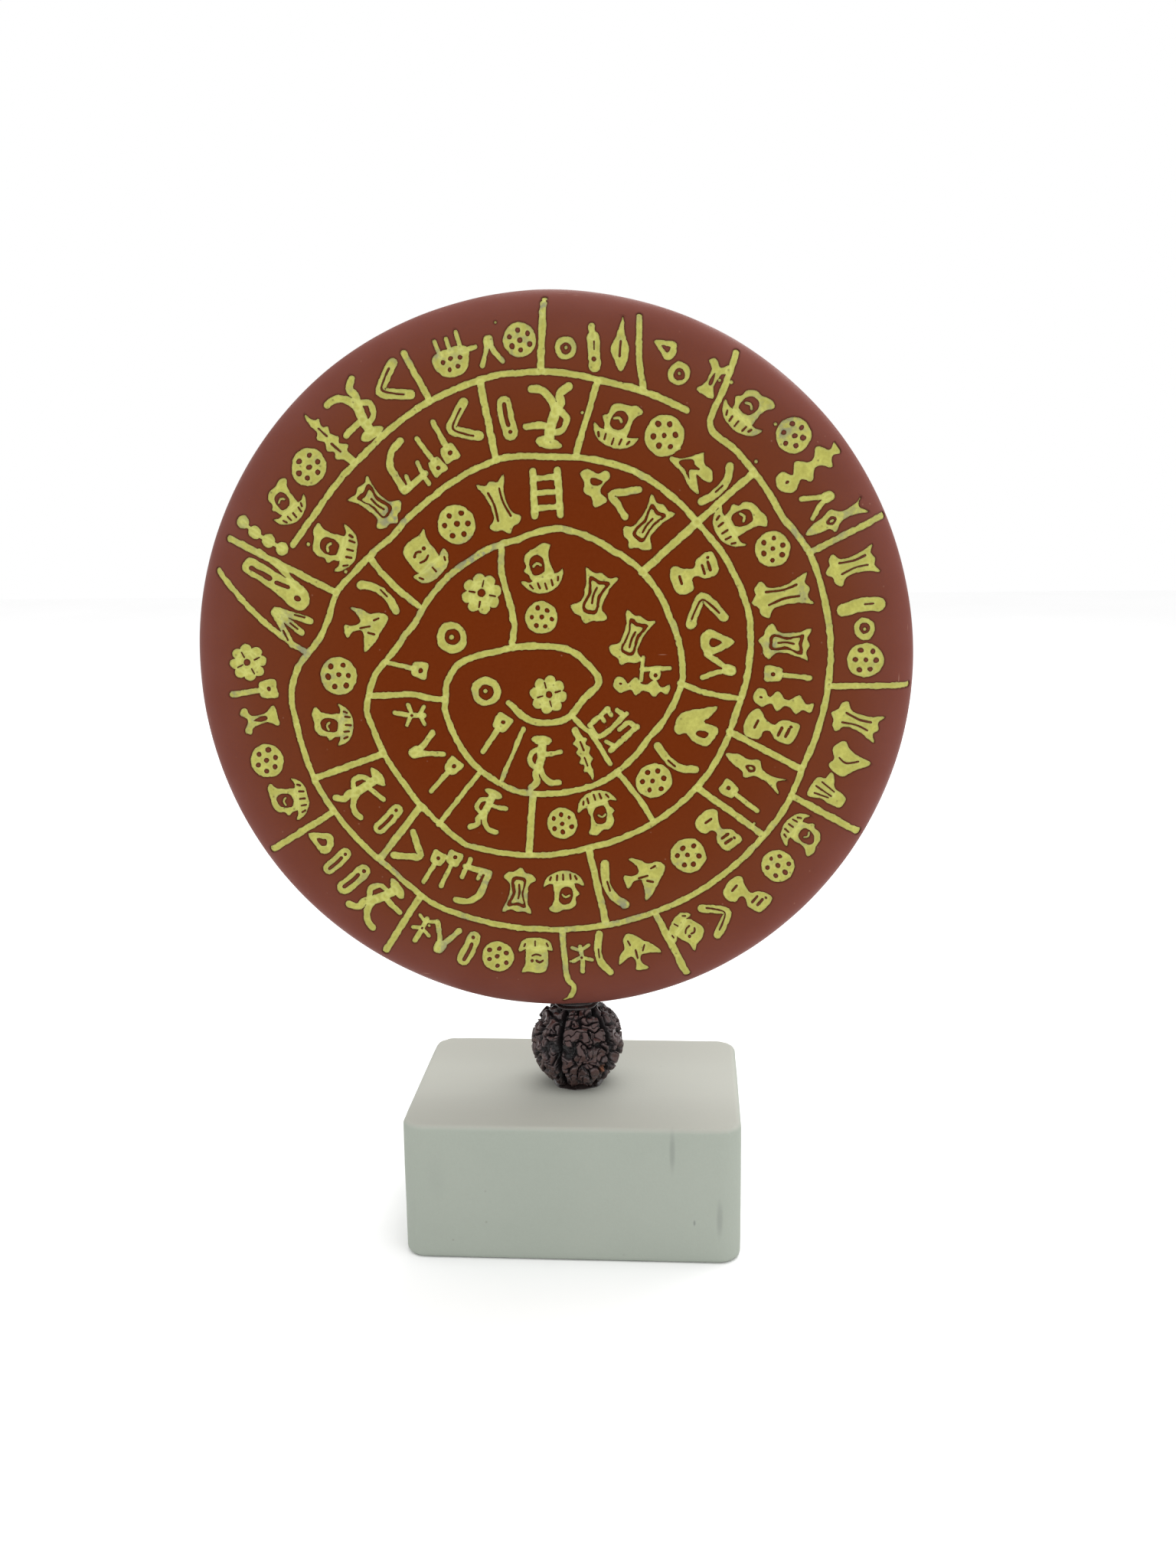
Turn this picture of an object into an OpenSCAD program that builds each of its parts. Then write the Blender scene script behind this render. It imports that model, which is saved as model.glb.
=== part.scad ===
// Decorative disc on a stand: a fired disc with two painted coats, a seed bead and a stone block on one rod.
// The disc stands upright and faces -Y. The origin is the centre of the block's underside.

/* [Block] */
// Width of the block, left to right
block_w = 76; // [60:1:95]
// Depth of the block, front to back
block_d = 54; // [44:1:68]
// Height of the block
block_h = 32; // [26:1:40]
// Radius of the block's four upright corners
block_corner = 5; // [3:0.5:9]
// Radius of the block's top and bottom edges
block_edge = 2; // [0.8:0.2:2.8]

/* [Seed bead] */
// Largest diameter of the bead
bead_d = 22; // [18:0.5:27]
// Height of the bead between its two flat ends
bead_h = 20; // [16:0.5:21]
// Depth of the five grooves
groove_depth = 1.4; // [0.8:0.1:2]
// Width of the five grooves
groove_w = 1.3; // [0.8:0.1:2]

/* [Disc] */
// Diameter of the disc over its coats
disc_d = 160; // [130:1:195]
// Thickness of the disc over its coats
disc_t = 16; // [13:0.5:20]
// Radius of the rounding between the disc's faces and its rim
rim_round = 6.4; // [3:0.2:6.4]
// Distance of the disc's centre to the right of the rod
disc_shift = -4.5; // [-8:0.5:8]

/* [Coats] */
// Thickness of the pale ground coat
ground_t = 0.4; // [0.3:0.05:0.8]
// Thickness of the dark top coat, and so the depth of the cut lines
top_t = 0.3; // [0.2:0.05:0.6]
// Width of the cut spiral line
line_w = 1.7; // [1:0.1:2.2]
// Size of the cut signs, 1 as drawn
sign_size = 1; // [0.8:0.05:1.2]

/* [Rod and glue] */
// Diameter of the rod
rod_d = 3; // [2:0.1:4]
// How far the rod reaches into the block
rod_in_block = 18; // [12:1:22]
// How far the rod reaches into the disc
rod_in_disc = 18; // [12:1:30]
// Gap round the rod in its two sockets, filled with glue
glue_gap = 0.2; // [0.1:0.05:0.4]
// How far the glue collar under the disc reaches past the bead's flat top
collar_reach = 0.92; // [0.3:0.02:2]
// How far the glue ring on the block reaches past the bead's flat foot
ring_reach = 1.92; // [0.9:0.02:3]

/* [Hidden] */

fine = 96;
small = 24;
eps = 0.01;
grooves = 5;
bead_turn = -21;
ring_h = 1.1;
collar_drop = 1.4;
collar_rise = 2.2;
line_step = 6;
divider_end = 1.8;
rim_steps = 8;

bead_z = block_h + bead_h / 2;
bead_top = block_h + bead_h;
// Radius of the bead's two flat ends.
bead_flat_r = sqrt(max(0, bead_d * bead_d - bead_h * bead_h)) / 2;
collar_r = bead_flat_r + collar_reach;
ring_r = bead_flat_r + ring_reach;
disc_r = disc_d / 2;
// The lowest point of the rim stands level with the bead's top.
disc_z = bead_top + disc_r;
socket_r = rod_d / 2 + glue_gap;
rod_bottom = block_h - rod_in_block;
rod_top = bead_top + rod_in_disc;
coats_t = ground_t + top_t;
// The layout below is drawn for a disc of this radius and scales with the disc.
layout_r = 80;
face_scale = disc_r / layout_r;
// Rounding of the rim, kept inside the coats' own thickness, and the radius where the flat face ends.
rim_edge = min(rim_round, disc_t / 2 - coats_t - 0.5);
face_r = disc_r - rim_edge;

// The cut line as [angle, radius], from the upper left inwards. The angle is clockwise from the top and
// goes on growing through the three turns. The last six points close the centre.
LINE = [
    [-76, 64], [-70, 63.8], [-60, 62], [-45, 61.2], [-30, 62], [-12, 62.4], [0, 61.6], [10, 60.4],
    [29, 60.2], [50, 58.6], [60, 58], [70, 60], [90, 60.8], [116, 60.8], [125, 62], [150, 62.8], [180, 63],
    [205, 63.7], [217, 62], [240, 62], [260, 60.4], [266, 58], [271, 54], [276, 51.8], [284, 50.8],
    [294, 47.2], [304, 44.4], [320, 43.6], [345, 44], [360, 42.6], [385, 43], [410, 42], [440, 43.6],
    [470, 42.6], [490, 44], [530, 45.2], [565, 48.4], [573, 47.2], [590, 45.6], [612, 44.6], [620, 41.6],
    [630, 35.6], [640, 32], [655, 29.8], [675, 27.4], [700, 25.6], [722, 26.6], [750, 25.2], [795, 26.4],
    [825, 29.2], [855, 29], [880, 31.6], [915, 33.2], [935, 31.8], [960, 28.4], [974, 24.8], [982, 20.5],
    [990, 10], [1000, 9.4], [1018, 10.2], [1030, 12.4], [1038, 15.8], [1045, 20.8], [1052, 25.4]
];
// The inner end of the line as [x, z] from the disc's centre.
LINE_END = [
    [-10, 0], [-5, 0.4], [2.6, -0.3], [7, -3.4], [9.8, -7.6], [6.4, -11.4], [3.2, -15.4], [-0.8, -16.8],
    [-6, -16], [-10.3, -12.4]
];

// Dividers across the band next to the rim, as [angle at the outer end, angle at the inner end].
RIM_DIVIDERS = [
    [-71.4, -72], [-27.2, -26.8], [-2, -3], [14.2, 19], [31.5, 35], [68, 69.5], [96, 98], [121.3, 122],
    [158, 159.3], [177.4, 178.5], [209.3, 208.5], [234.5, 233.5], [283, 269], [288.6, 284.4]
];
// Dividers across the inner band, one turn further in.
BAND_DIVIDERS = [
    [287, 284.4], [344.3, 342.5], [369, 366.2], [408.6, 408.6], [476.3, 475.6], [492, 494.5],
    [529.5, 530.5], [579.7, 580.3], [601.5, 598.3], [655.6, 647.2], [768.6, 769], [825.5, 825.8],
    [870.5, 873], [907.3, 908.5], [933.5, 931], [975.5, 965], [1052, 1052]
];
// Dividers of the centre, as [x, z] points.
CENTRE_DIVIDERS = [[[11.6, -24.4], [8.4, -18.6], [4.6, -15.6]], [[-11.6, -28.4], [-7.2, -18.4]]];

// Signs in the middle of the band next to the rim, as [kind, angle, size, turn].
RIM_SIGNS = [
    ["ring", 2.5, 0.6, 0], ["slot", 7.5, 1, 4], ["leaf", 12.2, 0.8, 8], ["tent", 22, 0.7, 90],
    ["ring", 26.5, 0.75, 0], ["head", 39.5, 1, 0], ["dots", 48.5, 1, 0], ["walker", 55.4, 1.1, 0],
    ["drop", 61, 0.8, 0], ["fish", 65.4, 1, 0], ["hide", 74.7, 1.05, 0], ["bar", 81.6, 1.1, 0],
    ["ring", 86, 0.7, 0], ["dots", 91.7, 0.9, 0], ["hide", 104, 1.05, -6], ["drop", 111, 1.1, 90],
    ["hand", 117.6, 0.9, 0], ["head", 126.9, 0.95, 0], ["dots", 134.4, 0.88, 0], ["bust", 142, 1, 20],
    ["chevron", 148.4, 0.9, 0], ["dots", 154.2, 0.8, 0], ["bird", 165, 0.9, 90], ["wave", 171, 1, 0],
    ["plant", 174.6, 0.6, 0], ["head", 183.5, 0.9, 0], ["dots", 190.5, 0.88, 0], ["slot", 196, 0.9, -6],
    ["tent", 200.6, 0.8, 0], ["plant", 205, 0.7, 0], ["walker", 214.4, 1.05, -25], ["slot", 221, 0.9, -8],
    ["slot", 225.6, 0.8, 0], ["drop", 230, 0.8, -90], ["head", 240.4, 0.95, 24], ["dots", 248.6, 0.92, 0],
    ["tower", 256, 0.9, 0], ["spade", 261.4, 1, 0], ["rosette", 268, 0.9, 0], ["head", 298.3, 0.95, 24],
    ["dots", 306.3, 0.95, 0], ["tower", 313, 1, 0], ["walker", 320.6, 1.1, -10], ["chevron", 328, 0.95, 0],
    ["ship", 340.6, 0.95, 0], ["tent", 347.6, 0.7, 0], ["dots", 352.6, 0.85, 0]
];
// Signs in the middle of the inner band, as [kind, angle, size, turn].
BAND_SIGNS = [
    ["head", 294.5, 1.05, 10], ["hide", 308.6, 1.1, -6], ["hook", 319.6, 1.1, 0], ["spade", 326.4, 1.05, 0],
    ["spade", 331.2, 1, 0], ["chevron", 338, 1, 0], ["slot", 348.6, 1, 0], ["walker", 359, 1.3, -10],
    ["head", 375.8, 1, -6], ["dots", 387.3, 1, 0], ["bird", 397.5, 1.05, -40], ["wave", 404.6, 1.1, 0],
    ["head", 415.5, 1, 0], ["dots", 425.5, 0.95, 0], ["hide", 437, 1.15, 0], ["hide", 448.8, 1.15, -4],
    ["fan", 457, 0.9, 180], ["tower", 463.6, 1.1, 0], ["bust", 470.4, 1.1, 0], ["fish", 481.6, 1.2, 0],
    ["spade", 488, 1, 0], ["bust", 498.4, 1, 0], ["dots", 507.3, 0.95, 0], ["bird", 518.3, 1.05, -90],
    ["wave", 525.6, 1.1, 0], ["head", 537.8, 1, 0], ["hide", 548.5, 1, 0], ["hook", 558.8, 1.05, 0],
    ["spade", 565.4, 1.05, 0], ["spade", 569.6, 0.9, 0], ["chevron", 575, 0.8, 0], ["slot", 584.4, 0.9, 0],
    ["walker", 593.6, 1.2, 0], ["head", 611, 1, 24], ["dots", 622.6, 1, 0], ["bird", 636.5, 1.05, 20],
    ["wave", 646, 1, -14], ["head", 664.6, 1.1, 16], ["dots", 681.4, 1.05, 0], ["hide", 699, 1.15, -8],
    ["ladder", 716.8, 1, 0], ["bird", 733.2, 1, 0], ["chevron", 744.5, 1, 0], ["hide", 757, 1.15, 10],
    ["bust", 780, 1.1, -6], ["chevron", 794.6, 1, 0], ["leaf", 808, 1, 10], ["tent", 816.6, 0.9, 0],
    ["hook", 838.6, 0.95, 0], ["wave", 853.2, 1, 10], ["dots", 863.2, 0.9, 0], ["head", 884.8, 1, 0],
    ["dots", 897, 0.85, 0], ["walker", 921.4, 1.1, -20], ["spade", 940.8, 1, 0], ["tent", 952, 0.9, 50],
    ["plant", 963, 0.8, 30], ["spade", 982, 1.1, 36], ["ring", 996, 1.4, 0], ["rosette", 1026, 1.1, 0]
];
// Signs of the centre, as [kind, [x, z], size, turn].
CENTRE_SIGNS = [
    ["head", [-3.2, 15.6], 1.05, 4], ["dots", [-3, 5.6], 0.8, 26], ["hide", [8.4, 11.4], 1.05, -50],
    ["hide", [16.4, 2], 1, -140], ["ring", [20.6, -4.8], 0.7, 20], ["tower", [18.4, -11], 0.85, -140],
    ["hand", [14, -17.6], 0.9, -140], ["tower", [6.6, -23], 0.7, -160], ["walker", [-2.6, -24.6], 0.9, -180],
    ["spade", [-14.6, -20.4], 0.9, 140], ["ring", [-15.6, -9.8], 1.2, 0], ["rosette", [-1, -9.6], 0.9, 0]
];

// A point on the disc's face from its clock angle, clockwise from the top, and its radius.
function clock(a, r) = [r * sin(a), r * cos(a)];

// A point between p[i] and p[i + 1] on a smooth curve through the list p.
function between(p, i, t) =
    let (a = p[max(i - 1, 0)], b = p[i], c = p[i + 1], d = p[min(i + 2, len(p) - 1)])
    ((2 * b) + (c - a) * t + (2 * a - 5 * b + 4 * c - d) * t * t + (3 * b - a - 3 * c + d) * t * t * t) / 2;

// The list p with its gaps filled by a smooth curve, a point every step along the first coordinate.
function filled(p, step) = [
    for (i = [0 : len(p) - 2])
        let (n = max(1, ceil(abs(p[i + 1][0] - p[i][0]) / step)))
            for (k = [0 : n - 1]) between(p, i, k / n),
    p[len(p) - 1]
];

// Unit normal to the path p at its point i.
function normal_at(p, i) =
    let (d = p[min(i + 1, len(p) - 1)] - p[max(i - 1, 0)]) [-d[1], d[0]] / norm(d);

// Outline of a line of width w along the path p.
function stroke(p, w) = [
    for (i = [0 : len(p) - 1]) p[i] + normal_at(p, i) * w / 2,
    for (i = [len(p) - 1 : -1 : 0]) p[i] - normal_at(p, i) * w / 2
];

line_table = filled(LINE, line_step);

module line(p, w) polygon(stroke(p, w));

module around(n, r) for (i = [0 : n - 1]) rotate(i * 360 / n) translate([0, r]) children();

// The signs, drawn upright in millimetres round their own centre.
module dots() difference() {
    circle(4.2, $fn = small);
    circle(0.6, $fn = small);
    around(6, 2.5) circle(0.6, $fn = small);
}
module ring() difference() {
    circle(2.6, $fn = small);
    circle(1.1, $fn = small);
}
module head() difference() {
    union() {
        polygon([[-2.6, -2.4], [-2.8, 1.6], [-1, 4], [1.6, 4.4], [4, 3.6], [2.6, 1.8], [2.4, -2.4]]);
        polygon([[-4.8, -1.8], [-2.4, -2.6], [2.4, -2.6], [4.8, -1.8], [3.6, -4.4], [0, -5.4], [-3.4, -4.4]]);
        polygon([[-2.6, -2.7], [2.6, -2.7], [2.6, -2.3], [-2.6, -2.3]]);
    }
    translate([-0.2, 0.8]) circle(1.3, $fn = small);
    line([[-2.4, -3.6], [0, -4.2], [2.4, -3.6]], 0.5);
}
module hide() difference() {
    polygon([
        [-3.4, 4.2], [-1.2, 3.8], [0, 4.5], [1.2, 3.8], [3.4, 4.2], [2.3, 1.6], [2.1, -1.4], [4.2, -4.2],
        [1.6, -3.7], [0, -5], [-1.6, -3.7], [-4.2, -4.2], [-2.1, -1.4], [-2.3, 1.6]
    ]);
    for (side = [-1, 1]) line([[side * 1, 2.4], [side * 0.8, 0], [side * 1.2, -2.2]], 0.6);
}
module chevron() line([[3.4, 4.4], [-2.6, 0.2], [3.4, -4]], 1.5);
module walker() {
    translate([1.4, 3.7]) circle(1.3, $fn = small);
    line([[1.2, 3.4], [0.5, 0.6], [-0.2, -1]], 1.5);
    line([[-0.2, -0.6], [1.6, -2.2], [1, -4.2], [2.6, -4.2]], 1.2);
    line([[0, -0.4], [-1.8, -2.2], [-3, -4]], 1.2);
    line([[0.8, 1.8], [-1.4, 0.8], [-2.6, 1.8]], 1);
    line([[0.8, 1.6], [2.6, 0.8], [3, -0.6]], 1);
}
module bird() {
    polygon([[-4.4, 0.6], [-1, 1.5], [2, 1], [4.6, 2], [3, -0.4], [4.2, -1.8], [1, -1.2], [-2, -0.8]]);
    polygon([[-0.8, 0.8], [0.2, 4.4], [1.9, 3.2], [1.8, 0.8]]);
    polygon([[-1, -0.5], [-0.6, -3.6], [1.6, -2.6], [1.4, -0.6]]);
}
module wave() line([[-1, 4], [0.6, 2], [0.2, 0], [-0.6, -2], [1, -4]], 1.7);
module bar() line([[0, 4], [-0.3, 0], [0, -4]], 2);
module slot() difference() {
    line([[0.2, 4], [-0.2, 0], [0, -4]], 2.6);
    line([[0.1, 2.6], [-0.1, 0], [0, -2.4]], 0.8);
}
module leaf() difference() {
    polygon([[0, 5], [0.9, 1.4], [1.8, -1], [0.6, -4.2], [-0.8, -2.6], [-1.9, -0.6], [-1, 1.6]]);
    line([[0, 0.6], [0, -2]], 0.5);
}
module tent() {
    line([[0.4, 3.8], [-2.6, -3.4]], 1.4);
    line([[0.2, 3.8], [2.6, -3.4]], 1.4);
}
module drop() difference() {
    polygon([[0, 3.4], [1.6, 0.6], [2.2, -1.6], [0.8, -3], [-1.2, -3], [-2.2, -1.4], [-1.4, 1]]);
    translate([0, -1]) circle(0.7, $fn = small);
}
module fish() difference() {
    polygon([
        [-1.4, 5], [0, 4.2], [1.4, 5], [0.8, 2.6], [2.2, -0.4], [1.4, -2.6], [0, -5], [-1.4, -2.6],
        [-2.2, -0.4], [-0.8, 2.6]
    ]);
    translate([0, -0.6]) circle(0.7, $fn = small);
}
module hand() {
    polygon([[-2, -0.4], [2, -0.4], [1.6, 3.4], [-1, 3.8]]);
    for (x = [-1.5, 0, 1.5]) line([[x, -0.2], [x * 1.7, -4]], 0.9);
    line([[-1.4, 0.4], [-3.6, -1.4]], 0.9);
}
module bust() difference() {
    union() {
        polygon([[-2, 4.4], [2.2, 4.2], [2.4, 1], [1.1, 0.4], [1.2, -1], [-1.2, -1], [-1, 0.6], [-2.4, 1.4]]);
        polygon([[-1.3, -0.9], [1.3, -0.9], [3.4, -2], [3.2, -4.2], [-3.2, -4.2], [-3.6, -2]]);
        polygon([[-1.1, -1.1], [1.1, -1.1], [1.1, -0.8], [-1.1, -0.8]]);
    }
    for (y = [1.8, 3]) line([[-1, y], [1.2, y]], 0.5);
}
module plant() {
    line([[0.4, 3.8], [0, 0], [0.2, -3.6]], 1.2);
    for (side = [-1, 1]) {
        line([[0.1, -0.2], [side * 2.4, 1.2]], 1);
        line([[0.1, -2.2], [side * 2.6, -1.6]], 1);
    }
}
module tower() {
    line([[0.4, 4], [0, -4]], 1.4);
    for (i = [0 : 3]) translate([i % 2 * 0.4 - 0.2, 3.4 - 2.3 * i]) circle(1.15 + 0.25 * i, $fn = small);
}
module spade() {
    line([[0, 4.4], [0, -1]], 1);
    polygon([[-1.5, -0.8], [1.5, -0.8], [1.8, -3.2], [-1.8, -3.2]]);
}
module rosette() difference() {
    union() {
        circle(2.6, $fn = small);
        around(8, 2.7) circle(1.25, $fn = small);
    }
    circle(0.8, $fn = small);
}
module fan() for (turn = [-28, 0, 28]) rotate(turn) line([[0, 3], [0, -3.6]], 1.1);
module feather() difference() {
    polygon([[-0.8, 5], [0.8, 5], [1.6, -3.4], [0, -5], [-1.7, -3.6]]);
    line([[0, 3.4], [0, -1.4]], 0.6);
    translate([0, -3]) circle(0.6, $fn = small);
}
module ship() difference() {
    union() {
        polygon([[-3.4, 1.4], [3.4, 1.4], [4.6, 0], [2.6, -3.6], [-2.4, -3.8], [-4, -1]]);
        for (x = [-2, 0.4, 2.8]) line([[x, 1.2], [x + 0.2, 4]], 0.9);
    }
    for (x = [-2, 0, 2]) translate([x, -1]) circle(0.6, $fn = small);
}
module hook() {
    line([[2.6, 4.4], [-0.6, 3.4], [-2.6, 0.6], [-2.4, -2.8], [2.8, -3]], 1.4);
    line([[1.6, -0.8], [2.4, -4.6]], 1.2);
}
module ladder() {
    for (x = [-2.6, 2.6]) line([[x, 4.2], [x, -4.2]], 1.3);
    for (y = [-2.8, 0, 2.8]) line([[-2.4, y], [2.4, y]], 1.1);
}

module sign(kind) {
    if (kind == "dots") dots();
    if (kind == "ring") ring();
    if (kind == "head") head();
    if (kind == "hide") hide();
    if (kind == "chevron") chevron();
    if (kind == "walker") walker();
    if (kind == "bird") bird();
    if (kind == "wave") wave();
    if (kind == "bar") bar();
    if (kind == "slot") slot();
    if (kind == "leaf") leaf();
    if (kind == "tent") tent();
    if (kind == "drop") drop();
    if (kind == "fish") fish();
    if (kind == "hand") hand();
    if (kind == "bust") bust();
    if (kind == "plant") plant();
    if (kind == "tower") tower();
    if (kind == "spade") spade();
    if (kind == "rosette") rosette();
    if (kind == "fan") fan();
    if (kind == "feather") feather();
    if (kind == "ship") ship();
    if (kind == "hook") hook();
    if (kind == "ladder") ladder();
}

// Radius of the cut line's middle at an angle.
function line_at(a) = face_scale * lookup(a, line_table);
// Angle that half the line's width takes at radius r.
function half_line(r) = asin(line_w / 2 / r);
// Points from angle a0 to a1, along the edge of the flat face or one side of the cut line.
function edge_points(a0, a1, rim, side) =
    let (n = max(1, ceil(abs(a1 - a0) / line_step)))
    [
        for (k = [0 : n])
            let (a = a0 + (a1 - a0) * k / n) clock(a, rim ? face_r : line_at(a) + side * line_w / 2)
    ];

// One field of the band between two dividers. back is the step in angle to the line that bounds it
// outside; rim says that the rim bounds it instead.
function field_outline(from, to, back, rim) =
    let (
        ro = rim ? face_r : line_at(from[0] - back),
        ri = line_at(from[1]),
        out = edge_points(from[0] - back + half_line(ro), to[0] - back - half_line(ro), rim, -1),
        in = edge_points(to[1] - half_line(ri), from[1] + half_line(ri), false, 1)
    )
    concat(out, in);

function middle_of_band(a, back, rim) = (line_at(a) + (rim ? face_r : line_at(a - back))) / 2;

module place_sign(kind, at, turn, size)
    translate(at) rotate(turn) linear_extrude(3 * top_t, center = true)
        scale(size * sign_size * face_scale) sign(kind);

// One band: each field is a plate of the top coat with its own signs cut through it.
module band(dividers, signs, back, rim)
    for (i = [0 : len(dividers) - 2]) difference() {
        linear_extrude(top_t) polygon(field_outline(dividers[i], dividers[i + 1], back, rim));
        for (s = signs) if (s[1] > dividers[i][1] - 2 && s[1] < dividers[i + 1][1] + 2)
            place_sign(s[0], clock(s[1], middle_of_band(s[1], back, rim)), -s[1] + s[3], s[2]);
    }

module centre() difference() {
    linear_extrude(top_t) polygon(concat(
        edge_points(693, 988, false, -1),
        edge_points(1002, 1050, false, -1)
    ));
    for (path = concat([LINE_END], CENTRE_DIVIDERS))
        linear_extrude(3 * top_t, center = true) line([for (p = path) p * face_scale], line_w);
    for (s = CENTRE_SIGNS) place_sign(s[0], s[1] * face_scale, s[3], s[2]);
}

// The disc's solid shape, smaller by inset on every side, in its own place.
module disc_shape(inset) {
    r = disc_r - inset;
    t = disc_t / 2 - inset;
    edge = rim_edge - inset / 2;
    rounding = [
        for (k = [0 : rim_steps]) edge * [sin(90 * k / rim_steps) - 1, cos(90 * k / rim_steps) - 1]
    ];
    translate([disc_shift, 0, disc_z]) rotate([90, 0, 0]) rotate_extrude($fn = 2 * fine)
        polygon(concat(
            [[0, -t], [0, t]],
            [for (p = rounding) [r, t] + p],
            [for (k = [rim_steps : -1 : 0]) [r + rounding[k][0], -t - rounding[k][1]]]
        ));
}

module rod_bore(from, to) translate([0, 0, from]) cylinder(r = socket_r, h = to - from, $fn = small);

module rounded_plan() {
    square([block_w - 2 * block_corner, block_d], center = true);
    square([block_w, block_d - 2 * block_corner], center = true);
    for (x = [-1, 1], y = [-1, 1])
        translate([x * (block_w / 2 - block_corner), y * (block_d / 2 - block_corner)])
            circle(block_corner, $fn = fine);
}
// A section of the block, w wide, with its four corners rounded by block_edge.
module edge_section(w) {
    translate([0, block_h / 2]) {
        square([w - 2 * block_edge, block_h], center = true);
        square([w, block_h - 2 * block_edge], center = true);
        for (x = [-1, 1], y = [-1, 1])
            translate([x * (w / 2 - block_edge), y * (block_h / 2 - block_edge)])
                circle(block_edge, $fn = fine);
    }
}

module block() color([0.62, 0.66, 0.61]) difference() {
    intersection() {
        linear_extrude(block_h) rounded_plan();
        rotate([90, 0, 0]) linear_extrude(block_d + 2, center = true) edge_section(block_w);
        rotate([90, 0, 90]) linear_extrude(block_w + 2, center = true) edge_section(block_d);
    }
    rod_bore(rod_bottom - glue_gap, block_h + eps);
}

module block_socket_glue() color([0.2, 0.19, 0.18]) difference() {
    rod_bore(rod_bottom - glue_gap, block_h);
    translate([0, 0, rod_bottom]) cylinder(d = rod_d, h = rod_in_block + 1, $fn = small);
}

module support_rod() color([0.6, 0.6, 0.6])
    translate([0, 0, rod_bottom]) cylinder(d = rod_d, h = rod_top - rod_bottom, $fn = small);

// The bead without its bore: a ball with two flats and grooves that run from pole to pole.
module bead_shape() difference() {
    intersection() {
        translate([0, 0, bead_z]) sphere(d = bead_d, $fn = 2 * fine);
        translate([0, 0, block_h]) cylinder(d = bead_d + 2, h = bead_h, $fn = small);
    }
    for (i = [0 : grooves - 1])
        rotate(bead_turn - 90 + i * 360 / grooves) translate([0, 0, bead_z]) rotate([90, 0, 0])
            linear_extrude(groove_w, center = true) difference() {
                translate([bead_d / 4 + 1, 0]) square([bead_d / 2 + 2, bead_d + 2], center = true);
                circle(bead_d / 2 - groove_depth, $fn = 2 * fine);
            }
}

module seed_bead() color([0.24, 0.12, 0.1]) difference() {
    bead_shape();
    rod_bore(block_h - eps, bead_top + eps);
}

module block_glue_ring() color([0.2, 0.19, 0.18]) difference() {
    translate([0, 0, block_h]) cylinder(r = ring_r, h = ring_h, $fn = fine);
    bead_shape();
    rod_bore(block_h - eps, block_h + ring_h + eps);
}

module disc_glue_collar() color([0.2, 0.19, 0.18]) difference() {
    translate([0, 0, bead_top - collar_drop])
        cylinder(r = collar_r, h = collar_drop + collar_rise, $fn = fine);
    bead_shape();
    disc_shape(0);
    rod_bore(bead_top - collar_drop - eps, bead_top + collar_rise + eps);
}

module disc_socket_glue() color([0.2, 0.19, 0.18]) difference() {
    rod_bore(block_h, rod_top + glue_gap);
    translate([0, 0, block_h - 1]) cylinder(d = rod_d, h = rod_top - block_h + 1, $fn = small);
}

module disc_core() color([0.7, 0.45, 0.3]) difference() {
    disc_shape(coats_t);
    rod_bore(bead_top, rod_top + glue_gap);
}

module ground_coat() color([0.72, 0.72, 0.3]) difference() {
    disc_shape(top_t);
    disc_shape(coats_t);
    rod_bore(bead_top - 1, rod_top);
}

// Puts what is drawn flat on the disc's face, top_t deep.
module on_face() translate([disc_shift, top_t - disc_t / 2, disc_z]) rotate([90, 0, 0]) children();

module top_coat_face() color([0.42, 0.15, 0.07]) on_face() {
    band(RIM_DIVIDERS, RIM_SIGNS, 0, true);
    band(BAND_DIVIDERS, BAND_SIGNS, 360, false);
    centre();
}

// The rim and the back of the top coat, slotted where the dividers run out over the rim.
module top_coat_rim() color([0.42, 0.15, 0.07]) difference() {
    disc_shape(0);
    disc_shape(top_t);
    rod_bore(bead_top - 1, rod_top);
    on_face() translate([0, 0, -eps]) cylinder(r = face_r, h = top_t + 1, $fn = 2 * fine);
    on_face() for (d = RIM_DIVIDERS) translate([0, 0, -rim_edge / 2]) linear_extrude(rim_edge)
        line([clock(d[0], face_r - 1), clock(d[0], disc_r - divider_end)], line_w);
}

block();
block_socket_glue();
block_glue_ring();
support_rod();
seed_bead();
disc_glue_collar();
disc_socket_glue();
disc_core();
ground_coat();
top_coat_face();
top_coat_rim();
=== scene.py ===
# %% [markdown]
# # A disc ornament on a seed bead and a stone block
#
# The real object is a round clay disc with two coats of colour. A spiral line and about a hundred little
# pictures are cut through the dark top coat, so the pale ground coat shows in the cuts. The disc stands on
# its rim on a dark, wrinkled seed bead, and the bead stands on a matt stone block. One hidden rod and a
# little glue hold the three together.
#
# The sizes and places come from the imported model, which is loaded first and never moved.

# %% Load the frame
import math
import random

import bmesh
import bpy
import numpy as np
from mathutils import Matrix, Vector, geometry, kdtree, noise


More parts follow.
